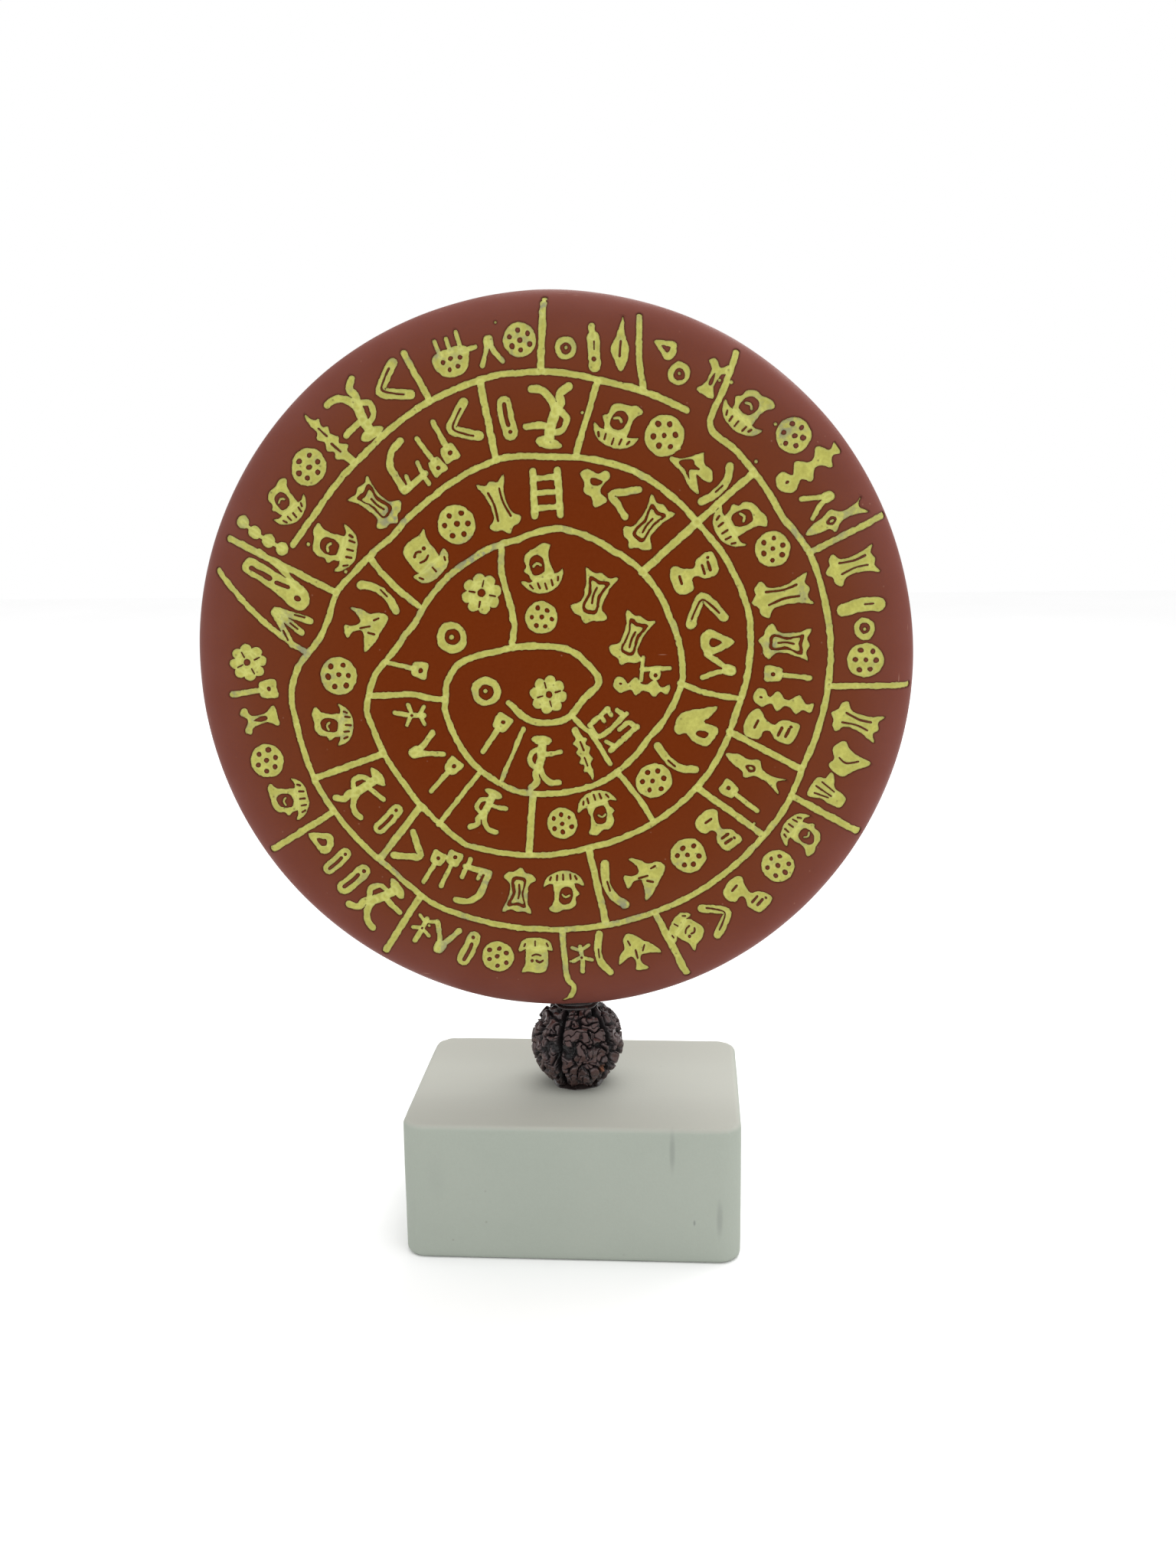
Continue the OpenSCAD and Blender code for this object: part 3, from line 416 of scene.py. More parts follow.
# %% Places of the signs
RIM_BAND = [
    ("ring", 2, 67, .85, 0), ("flask", 7.5, 67.4, 1, 4), ("leaf", 12.2, 68.8, 1.05, 8), ("drop", 20.2, 71, .8, 80),
    ("ring", 24.3, 66.8, .85, 0), ("vase", 30.4, 69.4, .85, 0), ("head", 39, 68, 1.05, 0), ("dots", 48.3, 70.6, .9, 0),
    ("beads", 54.6, 68.8, 1.3, 0), ("tent", 61, 66.4, .75, 0), ("fish", 65.3, 68, 1.2, 0), ("hide", 74.5, 68, 1.05, 0),
    ("bar", 82.3, 68, 1.1, 0), ("ring", 86.5, 68.2, .85, 0), ("dots", 92.3, 68.4, .92, 0),
    ("hide", 103.8, 68.4, 1.05, -6), ("kite", 111, 69, 1.05, 0), ("hand", 117.8, 68.2, .88, 0),
    ("head", 126.9, 68.8, .95, 0), ("dots", 134.4, 69, .88, 0), ("comb", 142, 69.4, 1, 20),
    ("chevron", 148.4, 69.6, .86, 0), ("mask", 154.8, 69.6, .85, 36), ("eagle", 165, 70, 1, 0),
    ("wave", 171.3, 69, 1, 0), ("plant", 175, 69.6, .8, 0), ("mask", 183.5, 69.4, .9, 0),
    ("dots", 190.5, 70.4, .88, 0), ("slot", 196, 70.2, .95, -12), ("tent", 201, 69.8, .85, 0),
    ("plant", 205.3, 70, .8, 0), ("walker", 215, 69.6, 1.25, -25), ("slot", 221, 69.2, 1, -8),
    ("slot", 225.6, 68.8, .85, 0), ("drop", 230.5, 68.6, 1, -70), ("head", 240.4, 69.6, 1, -24),
    ("dots", 248.6, 70, .92, 0), ("vase", 256.4, 68.8, .95, 0), ("spade", 261.8, 68.6, 1.15, 0),
    ("rosette", 267.3, 69.6, .95, 0), ("fan", 275.6, 60.6, 1, -36), ("feather", 283, 64.6, 1.45, -18),
    ("head", 298.3, 69.6, .95, -24), ("dots", 306.3, 69, .95, 0), ("frond", 312.6, 69, 1.3, 0),
    ("walker", 320, 69.4, 1.25, -10), ("chevron", 327.6, 69.4, .95, 0), ("ship", 340.2, 69.4, .95, 0),
    ("tent", 347.6, 68, .7, 0), ("dots", 353.4, 69.4, .85, 0)]
MIDDLE_BAND = [
    ("slot", 348.2, 52.4, 1, 0), ("walker", 359, 51.8, 1.3, -10), ("head", 15.8, 52, 1.05, -6),
    ("dots", 27.3, 53, 1.02, 0), ("bird", 37.3, 50, 1.0, 0), ("wave", 45.2, 50.8, 1, 0),
    ("head", 55.5, 49.8, 1.1, 0), ("dots", 65.6, 52.8, .9, 0), ("hide", 77, 51.6, 1.2, 0),
    ("skin", 88.8, 51, 1.05, -4), ("spade", 96.8, 51.6, 1, 0), ("beads", 103.4, 51.8, 1.1, 0),
    ("comb", 110.2, 51, 1.1, 0), ("fish", 121.5, 51.8, 1.25, 0), ("spade", 129, 52.6, 1, 0),
    ("comb", 138, 54.4, 1, 0), ("dots", 147.3, 54.8, .95, 0), ("eagle", 158.3, 54.6, 1.05, -90),
    ("wave", 166.5, 54.4, 1.15, 0), ("head", 177.8, 54.8, 1, 0), ("skin", 188.5, 55.2, 1, 0),
    ("hook", 199, 56, .95, 0), ("spade", 205.6, 55, .95, 0), ("spade", 209.2, 56.4, .9, 0),
    ("angle", 215, 55.4, .9, 0), ("slot", 224.2, 53.8, .9, 0), ("walker", 233.4, 54.2, 1.15, 0),
    ("head", 251, 53.4, 1, -24), ("dots", 262.6, 49.2, 1, 0), ("eagle", 276.5, 42.6, 1.05, 20),
    ("wave", 286.6, 41, 1.05, -30), ("head", 294.5, 55.2, 1.1, 10), ("skin", 308.8, 51.6, 1.05, -2),
    ("hook", 319.8, 52.6, 1, 0), ("spade", 326.8, 51.4, .95, 0), ("spade", 331.6, 52.6, 1, 0),
    ("chevron", 336.8, 54, .92, 0)]
INNER_BAND = [
    ("mask", 304.6, 36, 1.05, -16), ("dots", 321.4, 35.4, 1, 0), ("hide", 338.6, 34.2, 1.1, -4),
    ("ladder", 356.8, 34.6, 1.05, 0), ("pot", 13.2, 36.6, .85, 0), ("angle", 23.6, 36, .85, 0),
    ("skin", 37, 34.2, 1.05, 0), ("comb", 61.4, 35.2, 1.05, -6), ("chevron", 74.6, 34, .94, 0), ("drop", 88, 35.8, 1.15, 0),
    ("tent", 97, 36.4, .82, 0), ("helmet", 118.6, 36, 1, 0), ("wave", 133.2, 36.4, 1.05, 4),
    ("dots", 143.4, 36.8, .95, 0), ("head", 164.8, 38.2, 1, 0), ("dots", 177.6, 39.2, .84, 0),
    ("walker", 202.6, 39.6, .98, 0), ("spade", 220.8, 37.8, 1, 0), ("tent", 232, 36.8, .85, -16),
    ("plant", 245, 35.8, .85, -30), ("spade", 262.5, 33.4, 1, -24), ("ring", 275.6, 23.2, 1.25, 0),
    ("rosette", 306.4, 20.4, 1.0, 0)]
CENTRE = [
    ("head", 349, 18.2, 1.05, 8), ("dots", 336, 7.4, .85, 0), ("skin", 37.4, 14.4, 1.1, 20),
    ("skin", 83.2, 17.2, 1.05, 60), ("axe", 102, 22.8, .72, 10), ("beads", 114.5, 21, 1, 20),
    ("teeth", 143.4, 21.8, 1, 0), ("frond", 164.4, 24.4, 1.1, 0), ("walker", 186.4, 25.8, 1.1, 0),
    ("spade", 215, 23.4, 1.05, 0), ("ring", 237.6, 18.2, 1.2, 0), ("rosette", 188, 10.6, .95, 0)]
print(len(RIM_BAND + MIDDLE_BAND + INNER_BAND + CENTRE), "signs")

# %% [markdown]
# ### The spiral line and the dividers
#
# One line runs from the upper right inwards in three turns and closes the centre. A short second line starts
# the outer band. Dividers cross the bands; each is given by its ends, as a clock angle and a radius in mm.

# %% Lines of the layout
SPIRAL = [
    (31.5, 77.2), (33, 69), (35, 60), (50, 58.6), (60, 58), (70, 60), (90, 60.8), (116, 60.8), (125, 62),
    (150, 62.8), (180, 63), (205, 63.7), (217, 62), (240, 62), (260, 60.4), (266, 58), (271, 54), (276, 51.8),
    (284, 50.8), (294, 47.2), (304, 44.4), (320, 43.6), (345, 44), (360, 42.6), (385, 43), (410, 42),
    (440, 43.6), (470, 42.6), (490, 44), (530, 45.2), (565, 48.4), (573, 47.2), (590, 45.6), (612, 44.6),
    (620, 41.6), (630, 35.6), (640, 32), (655, 29.8), (675, 27.4), (700, 25.6), (722, 26.6), (750, 25.2),
    (795, 26.4), (825, 29.2), (855, 29), (880, 31.6), (915, 33.2), (935, 31.8), (960, 28.4), (974, 24.8),
    (982, 20.5), (990, 10), (1002, 9.6), (1018, 10.2), (1030, 12.4), (1038, 15.8), (1045, 20.8), (1052, 25.4)]
SPIRAL_END = [(-10, 0), (-5, 0.4), (2.6, -0.3), (7, -3.4), (9.8, -7.6), (6.4, -11.4), (3.2, -15.4),
              (-0.8, -16.8), (-6, -16), (-10.3, -12.4)]
OUTER_LINE = [(29, 60.2), (10, 60.4), (0, 61.6), (-12, 62.4), (-30, 62), (-45, 61.2), (-60, 62), (-68.6, 63.6)]
BEAD_CHAIN = [(290, 65.6), (290.5, 69.2), (291, 72.8), (292, 76.4)]
DIVIDERS = [
    ([(14.2, 76.4), (16.2, 67), (19, 60.6)], 1.5), ([(68, 78.4), (69.5, 60.2)], 1.5), ([(96, 78.4), (98, 61)], 1.5),
    ([(121.3, 78.6), (122, 61.6)], 1.7), ([(158, 78.4), (159.3, 63)], 1.8), ([(209.3, 78.8), (208.5, 63.4)], 1.7),
    ([(177.6, 78.6), (176.8, 76), (178, 73.4), (178.5, 63.4)], 1.5), ([(234.5, 78.8), (233.5, 62)], 1.7),
    ([(283, 78.4), (268.8, 56)], 1.5), ([(288.6, 78), (284.2, 51)], 1.7), ([(332.8, 74.6), (333.2, 62.4)], 1.6),
    ([(358, 77.4), (357, 62)], 1.7), ([(9, 60), (6.2, 43.4)], 1.6), ([(48.6, 58.6), (48.6, 42)], 1.7),
    ([(48.6, 42), (49, 25.6)], 1.9), ([(116.3, 60.6), (115.6, 42.8)], 1.7), ([(132, 61.6), (134.5, 44.4)], 1.7),
    ([(169.5, 62), (170.5, 45.6)], 1.8), ([(219.7, 61.8), (220.3, 46.6)], 1.8), ([(241.5, 61.8), (238.3, 45.4)], 1.7),
    ([(344.3, 61.6), (342.5, 44)], 1.7), ([(295.6, 46), (287.2, 32.2)], 1.7), ([(105.5, 42.6), (106.6, 35), (105.8, 28.8)], 1.4),
    ([(150.5, 44), (151, 38), (153, 31.4)], 1.5), ([(187.3, 46.6), (188.5, 33)], 1.8), ([(213.5, 47.6), (211, 32.2)], 1.3),
    ([(255.5, 43.4), (252, 34), (245, 27.4)], 1.6), ([(154.5, 28.6), (157, 21), (165, 16)], 1.3),
    ([(202, 31.8), (201.3, 19.4)], 1.2)]
LINE_WIDTH = 1.42
# Small holes left where the tool slipped, as clock angle, radius and size in mm.
SLIPS = [(33.6, 74.6, 0.42), (31.6, 73.6, 0.34), (44.6, 73.4, 0.36), (47.2, 64.6, 0.4), (31.8, 56.2, 0.42),
         (23.8, 47.2, 0.36), (6.6, 56.8, 0.34), (292.8, 64.4, 0.45), (290, 54.2, 0.38), (177.2, 74.2, 0.34),
         (131.4, 62.8, 0.32), (118, 73.4, 0.3), (204.4, 72.6, 0.36), (349.6, 78.2, 0.3), (357.6, 78.6, 0.45)]


def along(points, step=6):
    """Clock points with extra points in between, so that a long arc stays an arc."""
    dense = []
    for (a0, r0), (a1, r1) in zip(points, points[1:]):
        parts = max(1, round(abs(a1 - a0) / step))
        dense += [(a0 + (a1 - a0) * k / parts, r0 + (r1 - r0) * k / parts) for k in range(parts)]
    return [clock(*p) / MM for p in dense + [points[-1]]]


def placed(shape, at, turn=0.0, size=1.0, stretch=1.0):
    """A pattern's outline, moved to its place on the face, in metres."""
    pts = turned([(x * size * stretch, y * size / stretch) for x, y in shape["points"]], turn)
    width = shape.get("width", 1) * size
    return {**shape, "points": [Vector(p) * MM + at for p in pts], "width": width * MM}


def on_face(points, width, cut=True):
    """A stroke given straight in millimetres on the face."""
    return {**stroke([Vector(p) * MM for p in points], width * MM, cut)}


layout = [on_face(along(SPIRAL), LINE_WIDTH), on_face(along([(math.degrees(math.atan2(x, z)), math.hypot(x, z)) for x, z in SPIRAL_END], 400), LINE_WIDTH + 0.1),
          on_face(along(OUTER_LINE), LINE_WIDTH)]
layout += [on_face(along(path, 3), 0.9 * width) for path, width in DIVIDERS]
layout += [placed(dot(0, 0, 1.5), clock(*place), size=1) for place in BEAD_CHAIN]
layout += [on_face([clock(a, r) / MM for a, r in BEAD_CHAIN], 0.9), placed(dot(0, 0, 0.7), clock(358.2, 78.4)),
           on_face([clock(177.4, 78.4) / MM, clock(178.6, 79.4) / MM], 0.8)]
layout += [placed(dot(0, 0, grain), clock(angle, radius - 4)) for angle, radius, grain in SLIPS]
for kind, angle, radius, size, turn in RIM_BAND + MIDDLE_BAND + INNER_BAND + CENTRE:
    lean = turn - angle + dice.uniform(-3, 3)
    pull = dice.uniform(0.96, 1.04)
    wide, tall = PROPORTIONS.get(kind, (1, 1))
    for shape in PATTERNS[kind]:
        shift = (0, 0) if shape["cut"] else (dice.uniform(-0.2, 0.2), dice.uniform(-0.2, 0.2))
        drawn = {**shape, "points": [(x * wide + shift[0], y * tall + shift[1]) for x, y in shape["points"]]}
        layout.append(placed(drawn, clock(angle, radius), lean, size, pull))
print(len(layout), "outlines in the layout")

# %% [markdown]
# ### Triangulating the face
#
# Every outline is resampled to half-millimetre steps and made unsteady. A constrained Delaunay triangulation
# then keeps all of them as edges. Which triangles are cut is decided by painting the outlines in order over
# the triangles' middles. Extra points beside the outlines carry the soft shoulder and the dark edge, which is
# painted shade of the cut walls over a dark stain.

# %% Outlines as polygons
def outline_of(shape):
    """Closed polygons that together fill the shape, and the points where its edge runs."""
    if shape["kind"] == "blob":
        size = max((Vector(p) - shape["points"][0]).length for p in shape["points"])
        path = evenly(through(shape["points"], True), min(CUT_STEP, size / 3), True)
        normals = side_normals(path, True)
        path = unsteady(path, normals, 0.11 * MM if size > MM else 0.035 * MM)
        return [path], path
    width = shape["width"]
    step = CUT_STEP if width > 0.7 * MM else width
    way = evenly(through(shape["points"], False, 6), step, False)
    normals = side_normals(way, False)
    shake = 0.11 * MM if width > MM else 0.04 * MM
    left = unsteady(way + normals * width / 2, normals, shake)
    right = unsteady(way - normals * width / 2, -normals, shake)
    first, last = ((way[i] - way[j]) / max(np.linalg.norm(way[i] - way[j]), 1e-9) for i, j in ((0, 1), (-1, -2)))
    turns = np.linspace(0, math.pi, 6 if width > MM else 4)[1:-1]

    def cap(centre, side, forward):
        return np.array([centre + (side * math.cos(t) + forward * math.sin(t)) * width / 2 for t in turns])

    tail = cap(way[0], -normals[0], first)
    head = cap(way[-1], normals[-1], last)
    edge = np.vstack([left, head, right[::-1], tail])
    polygons = []
    for i in range(0, len(way) - 1, 24):
        j = min(i + 24, len(way) - 1)
        parts = [left[i:j + 1]] + ([head] if j == len(way) - 1 else []) + [right[i:j + 1][::-1]]
        polygons.append(np.vstack(parts + ([tail] if i == 0 else [])))
    return polygons, edge


polygons, edges, is_cut = [], [], []
for shape in layout:
    filled, edge = outline_of(shape)
    polygons += filled
    is_cut += [shape["cut"]] * len(filled)
    edges.append(edge)
edge_points = np.vstack(edges)
print(len(polygons), "polygons,", len(edge_points), "edge points")


# %% Painting in order
def inside(points, polygon):
    """Which points lie inside a polygon, by counting crossings."""
    x, y = points[:, :1], points[:, 1:]
    x0, y0 = polygon[:, 0], polygon[:, 1]
    x1, y1 = np.roll(x0, -1), np.roll(y0, -1)
    spans = (y0 > y) != (y1 > y)
    with np.errstate(divide="ignore", invalid="ignore"):
        crossing = x < (x1 - x0) * (y - y0) / (y1 - y0) + x0
    return (np.count_nonzero(spans & crossing, axis=1) % 2) == 1


def painted(points):
    """True where the last outline over a point is cut."""
    order = np.argsort(points[:, 0])
    xs = points[order, 0]
    state = np.zeros(len(points), bool)
    for polygon, cut in zip(polygons, is_cut):
        low, high = polygon.min(axis=0), polygon.max(axis=0)
        near = order[np.searchsorted(xs, low[0]):np.searchsorted(xs, high[0], "right")]
        near = near[(points[near, 1] > low[1]) & (points[near, 1] < high[1])]
        if len(near):
            state[near[inside(points[near], polygon)]] = cut
    return state


def nearest_edge(points):
    """Distance from each point to the nearest outline point."""
    return np.array([edge_tree.find((x, y, 0))[2] for x, y in points])


edge_tree = kdtree.KDTree(len(edge_points))
for i, (x, y) in enumerate(edge_points):
    edge_tree.insert((x, y, 0), i)
edge_tree.balance()
print("the middle of the disc is", "cut" if painted(np.array([[0.0, 0.0]]))[0] else "standing")


# %% Beside the outlines
def beside(distances, want_cut):
    """Points at the given distances from the outlines, on the cut or on the standing side."""
    found = []
    for edge in edges:
        normals = side_normals(edge, True)
        for distance in distances:
            for side in (-1, 1):
                found.append(edge + normals * side * distance)
    found = np.vstack(found)
    need = np.repeat(1.0, len(found))
    clear = nearest_edge(found) > 0.11 * MM
    found = found[clear]
    return found[painted(found) == want_cut]


def field_points(spacing, gap):
    """A loose grid over the flat face, and rings over the rim's rounding."""
    count = int(2 * flat_r / spacing)
    axis = (np.arange(count) - (count - 1) / 2) * spacing
    grid = np.array([(x, y + (spacing / 2 if i % 2 else 0)) for i, x in enumerate(axis) for y in axis])
    grid = grid[np.hypot(grid[:, 0], grid[:, 1]) < flat_r - spacing / 2]
    rings = [
        [(math.sin(t) * r, math.cos(t) * r) for t in np.linspace(0, 2 * math.pi, 420, endpoint=False)]
        for r in np.linspace(flat_r, FLAT_LIMIT, 10)[:-1]
    ]
    grid = np.vstack([grid] + [np.array(ring) for ring in rings])
    return grid[nearest_edge(grid) > gap]


RIM_STEPS = 720
rim_circle = np.array([(math.sin(t) * FLAT_LIMIT, math.cos(t) * FLAT_LIMIT)
                       for t in np.linspace(0, 2 * math.pi, RIM_STEPS, endpoint=False)])


def triangulate(extra):
    """Triangles over the face with every outline kept: flat points, triangles and their state."""
    chunks, borders, start = [rim_circle], [], 0
    borders += [(i, (i + 1) % RIM_STEPS) for i in range(RIM_STEPS)]
    start = RIM_STEPS
    for polygon in polygons:
        chunks.append(polygon)
        borders += [(start + i, start + (i + 1) % len(polygon)) for i in range(len(polygon))]
        start += len(polygon)
    points = np.vstack(chunks + [extra])
    flat, _, triangles, _, _, _ = geometry.delaunay_2d_cdt(
        [Vector(p) for p in points.tolist()], borders, [], 0, 1e-8)
    flat = np.array([tuple(p) for p in flat])
    triangles = np.array([t for t in triangles if len(t) == 3])
    return flat, triangles, painted(flat[triangles].mean(axis=1))


coat_flat, coat_tris, coat_cut = triangulate(
    np.vstack([beside((0.16 * MM, 0.45 * MM), False), field_points(1.7 * MM, 0.7 * MM)]))
print(len(coat_tris), "triangles,", int(coat_cut.sum()), "of them cut")

# %% [markdown]
# ### Bending the sheet round the rim
#
# The flat sheet is as long as the face and the rim's rounding together. A point beyond the flat part turns
# round the rim's edge. A slow unevenness of a few tenths of a millimetre, the same for both coats, stands for
# the hand-made clay below.

# %% The disc's surface
centre_x, centre_z = disc_middle.x, disc_middle.z


def clay(points):
    """The slow unevenness of the clay, for points in metres."""
    out = points.copy()
    for i, (x, y, z) in enumerate(points):
        dx, dz = x - centre_x, z - centre_z
        r = math.hypot(dx, dz)
        swell = noise.noise(Vector((dx * 22, y * 30, dz * 22 + SEED))) * 0.00028
        wave = noise.noise(Vector((dx * 60, y * 60 + 5, dz * 60))) * 0.00006
        outward = min(1, max(0, (r - flat_r * 0.9) / (disc_r - flat_r * 0.9)))
        if r > 1e-6:
            out[i, 0] -= dx / r * (abs(swell) + abs(wave)) * outward
            out[i, 2] -= dz / r * (abs(swell) + abs(wave)) * outward
        out[i, 1] -= (swell + wave) * (1 - outward) * 0.6 * (1 if y > 0 else -1) * -1
    return out


def bent(flat, depth):
    """Flat points to places on the disc's front, at a depth under the surface."""
    s = np.hypot(flat[:, 0], flat[:, 1])
    turn = np.maximum(0, s - flat_r) / rim_edge
    radius = np.where(s <= flat_r, s, flat_r + (rim_edge - depth) * np.sin(turn))
    y = -disc_half + np.where(s <= flat_r, depth, rim_edge - (rim_edge - depth) * np.cos(turn))
    scale = radius / np.maximum(s, 1e-9)
    return np.column_stack([centre_x + flat[:, 0] * scale, y, centre_z + flat[:, 1] * scale])


def back_rings(depth, radii=(60, 45, 30, 15, 5)):
    """Rings from the end of the front's rounding over the rim to the middle of the back."""
    rings = [(disc_r - depth, y) for y in np.linspace(-1, 1, 4)[1:] * (disc_half - rim_edge)]
    for turn in np.linspace(0, math.pi / 2, 9)[1:]:
        rings.append((flat_r + (rim_edge - depth) * math.cos(turn),
                      disc_half - rim_edge + (rim_edge - depth) * math.sin(turn)))
    rings += [(r * MM, disc_half - depth) for r in radii]
    places = []
    for radius, y in rings:
        for t in np.linspace(0, 2 * math.pi, RIM_STEPS, endpoint=False):
            places.append((centre_x + math.sin(t) * radius, y, centre_z + math.cos(t) * radius))
    return places, len(rings)


def make_piece(name, points, faces, materials=(), smooth_below=50):
    """A mesh object from points and faces, shaded smooth except at sharp edges."""
    mesh = bpy.data.meshes.new(name)
    mesh.from_pydata([tuple(p) for p in points], [], [tuple(f) for f in faces])
    mesh.validate()
    mesh.shade_smooth()
    mesh.set_sharp_from_angle(angle=math.radians(smooth_below))
    for material in materials:
        mesh.materials.append(material)
    piece = bpy.data.objects.new(name, mesh)
    scene.collection.objects.link(piece)
    return piece


def per_point(piece, name, values):
    """A number for every point of the mesh, for its material to read."""
    layer = piece.data.attributes.new(name, "FLOAT", "POINT")
    layer.data.foreach_set("value", np.asarray(values, dtype=np.float32))


print("the front bends over", round(math.degrees(RIM_ARC / rim_edge)), "degrees at the rim")


# %% The top coat
def with_back(flat, tris, depth):
    """A full skin of the disc at a depth: bent front triangles, rim and back."""
    front = bent(flat, depth)
    ring = {tuple(np.round(p / (0.01 * MM)).astype(int)): i for i, p in enumerate(flat)}
    first = [ring[tuple(np.round(p / (0.01 * MM)).astype(int))] for p in rim_circle]
    places, count = back_rings(depth)
    base = len(front)
    faces = [tuple(t) for t in tris]
    previous = first
    for k in range(count):
        current = [base + k * RIM_STEPS + i for i in range(RIM_STEPS)]
        for i in range(RIM_STEPS):
            j = (i + 1) % RIM_STEPS
            faces.append((previous[i], previous[j], current[j], current[i]))
        previous = current
    hub = base + len(places)
    faces += [(previous[i], previous[(i + 1) % RIM_STEPS], hub) for i in range(RIM_STEPS)]
    points = np.vstack([front, np.array(places), [(centre_x, disc_half - depth, centre_z)]])
    return points, faces


def facing_front(flat, tris):
    """Triangles turned so that they face the front."""
    a, b, c = (flat[tris[:, k]] for k in range(3))
    left = (b[:, 0] - a[:, 0]) * (c[:, 1] - a[:, 1]) - (b[:, 1] - a[:, 1]) * (c[:, 0] - a[:, 0]) > 0
    return np.where(left[:, None], tris, tris[:, ::-1])


def border_edges(tris):
    """Directed edges that belong to one triangle only."""
    sides = np.vstack([tris[:, (0, 1)], tris[:, (1, 2)], tris[:, (2, 0)]])
    size = int(sides.max()) + 1
    forward = sides[:, 0].astype(np.int64) * size + sides[:, 1]
    backward = sides[:, 1].astype(np.int64) * size + sides[:, 0]
    return sides[~np.isin(forward, backward)]


SHOULDER = 0.07 * MM
standing = facing_front(coat_flat, coat_tris[~coat_cut])
border = border_edges(standing)
on_rim = np.hypot(coat_flat[:, 0], coat_flat[:, 1]) > FLAT_LIMIT - 0.01 * MM
border = border[~(on_rim[border[:, 0]] & on_rim[border[:, 1]])]
at_border = np.zeros(len(coat_flat), bool)
at_border[border.ravel()] = True

skin_points, skin_faces = with_back(coat_flat, standing, 0)
lowered = bent(coat_flat, SHOULDER)
skin_points[:len(coat_flat)][at_border] = lowered[at_border]
floor_of = {int(i): len(skin_points) + k for k, i in enumerate(np.flatnonzero(at_border))}
deep = bent(coat_flat[at_border], top_depth)
walls = [(int(b), int(a), floor_of[int(a)], floor_of[int(b)]) for a, b in border]
# Painted shade with some stain: the cut walls and about 0.3 mm of coat beside each cut are marked dark.
edge_shade_and_stain = np.zeros(len(skin_points) + len(deep))
front_distance = nearest_edge(coat_flat)
edge_shade_and_stain[:len(coat_flat)] = np.clip(1 - (front_distance - 0.02 * MM) / (0.3 * MM), 0, 1)
edge_shade_and_stain[:len(coat_flat)][at_border] = 1
edge_shade_and_stain[len(skin_points):] = 1
coat_points = clay(np.vstack([skin_points, deep]))
print(len(skin_faces), "skin faces and", len(walls), "walls")

# %% [markdown]
# ### Closing the top coat from below
#
# A coat is a thin shell, so it gets an underside with the same outlines and fewer points. The walls of the
# cuts join the two skins, and the rim circle is shared, so the shell is closed.

# %% Underside of the top coat
under_flat, under_tris, under_cut = triangulate(field_points(3.4 * MM, 0.9 * MM))
under_points, under_faces = with_back(under_flat, facing_front(under_flat, under_tris[~under_cut]), top_depth)
under_points = clay(under_points)
base = len(coat_points)
all_points = np.vstack([coat_points, under_points])
all_faces = skin_faces + walls + [tuple(base + i for i in reversed(face)) for face in under_faces]
top_coat = make_piece("disc_top_coat", all_points, all_faces)
per_point(top_coat, "edge_shade_and_stain", np.concatenate([edge_shade_and_stain, np.zeros(len(under_points))]))
skin = bmesh.new()
skin.from_mesh(top_coat.data)
bmesh.ops.remove_doubles(skin, verts=skin.verts, dist=2e-6)
bmesh.ops.delete(skin, geom=[v for v in skin.verts if not v.link_faces], context="VERTS")
skin.to_mesh(top_coat.data)
open_edges = sum(1 for e in skin.edges if len(e.link_faces) != 2)
skin.free()
top_coat.data.set_sharp_from_angle(angle=math.radians(50))
print(len(top_coat.data.polygons), "faces in the top coat,", open_edges, "open edges")

# %% [markdown]
# ### The ground coat
#
# The ground coat is one skin under the top coat. Where the gouge went, its surface is the floor of the cuts,
# so it is finely divided there: a little hollow and hump from the tool, and a lighter band along the cut
# edges, which is a painted highlight.

# %% Ground coat
ground_flat, ground_tris, ground_cut = triangulate(
    np.vstack([beside((0.26 * MM, 0.6 * MM), True), field_points(2.6 * MM, 0.9 * MM)]))
ground_points, ground_faces = with_back(ground_flat, facing_front(ground_flat, ground_tris), top_depth)
edge_distance = nearest_edge(ground_flat)
in_floor = np.zeros(len(ground_flat), bool)
in_floor[ground_tris[ground_cut].ravel()] = True
in_floor[ground_tris[~ground_cut].ravel()] = False
for i in np.flatnonzero(in_floor):
    x, z = ground_flat[i] / MM
    ground_points[i, 1] += (0.07 * noise.noise(Vector((x * 1.3, z * 1.3, 3))) - 0.02) * MM
inner_rings = [(r * MM, -disc_half + ground_depth + top_depth) for r in (12, 36, 60)]
inset = ground_depth + top_depth
for turn in np.linspace(0, math.pi / 2, 6):
    inner_rings.append((flat_r + (rim_edge - inset) * math.sin(turn),
                        -disc_half + rim_edge - (rim_edge - inset) * math.cos(turn)))
inner_rings += [(r, -y) for r, y in reversed(inner_rings)]
INNER_STEPS = 180
inner_places = [(centre_x + math.sin(t) * r, y, centre_z + math.cos(t) * r) for r, y in inner_rings
                for t in np.linspace(0, 2 * math.pi, INNER_STEPS, endpoint=False)]
inner_places += [(centre_x, -disc_half + inset, centre_z), (centre_x, disc_half - inset, centre_z)]
base = len(ground_points)
inner_faces = []
for k in range(len(inner_rings) - 1):
    for i in range(INNER_STEPS):
        j = (i + 1) % INNER_STEPS
        a, b = base + k * INNER_STEPS, base + (k + 1) * INNER_STEPS
        inner_faces.append((a + i, b + i, b + j, a + j))
hub = base + len(inner_rings) * INNER_STEPS
last = base + (len(inner_rings) - 1) * INNER_STEPS
for i in range(INNER_STEPS):
    j = (i + 1) % INNER_STEPS
    inner_faces += [(base + j, hub, base + i), (last + i, hub + 1, last + j)]
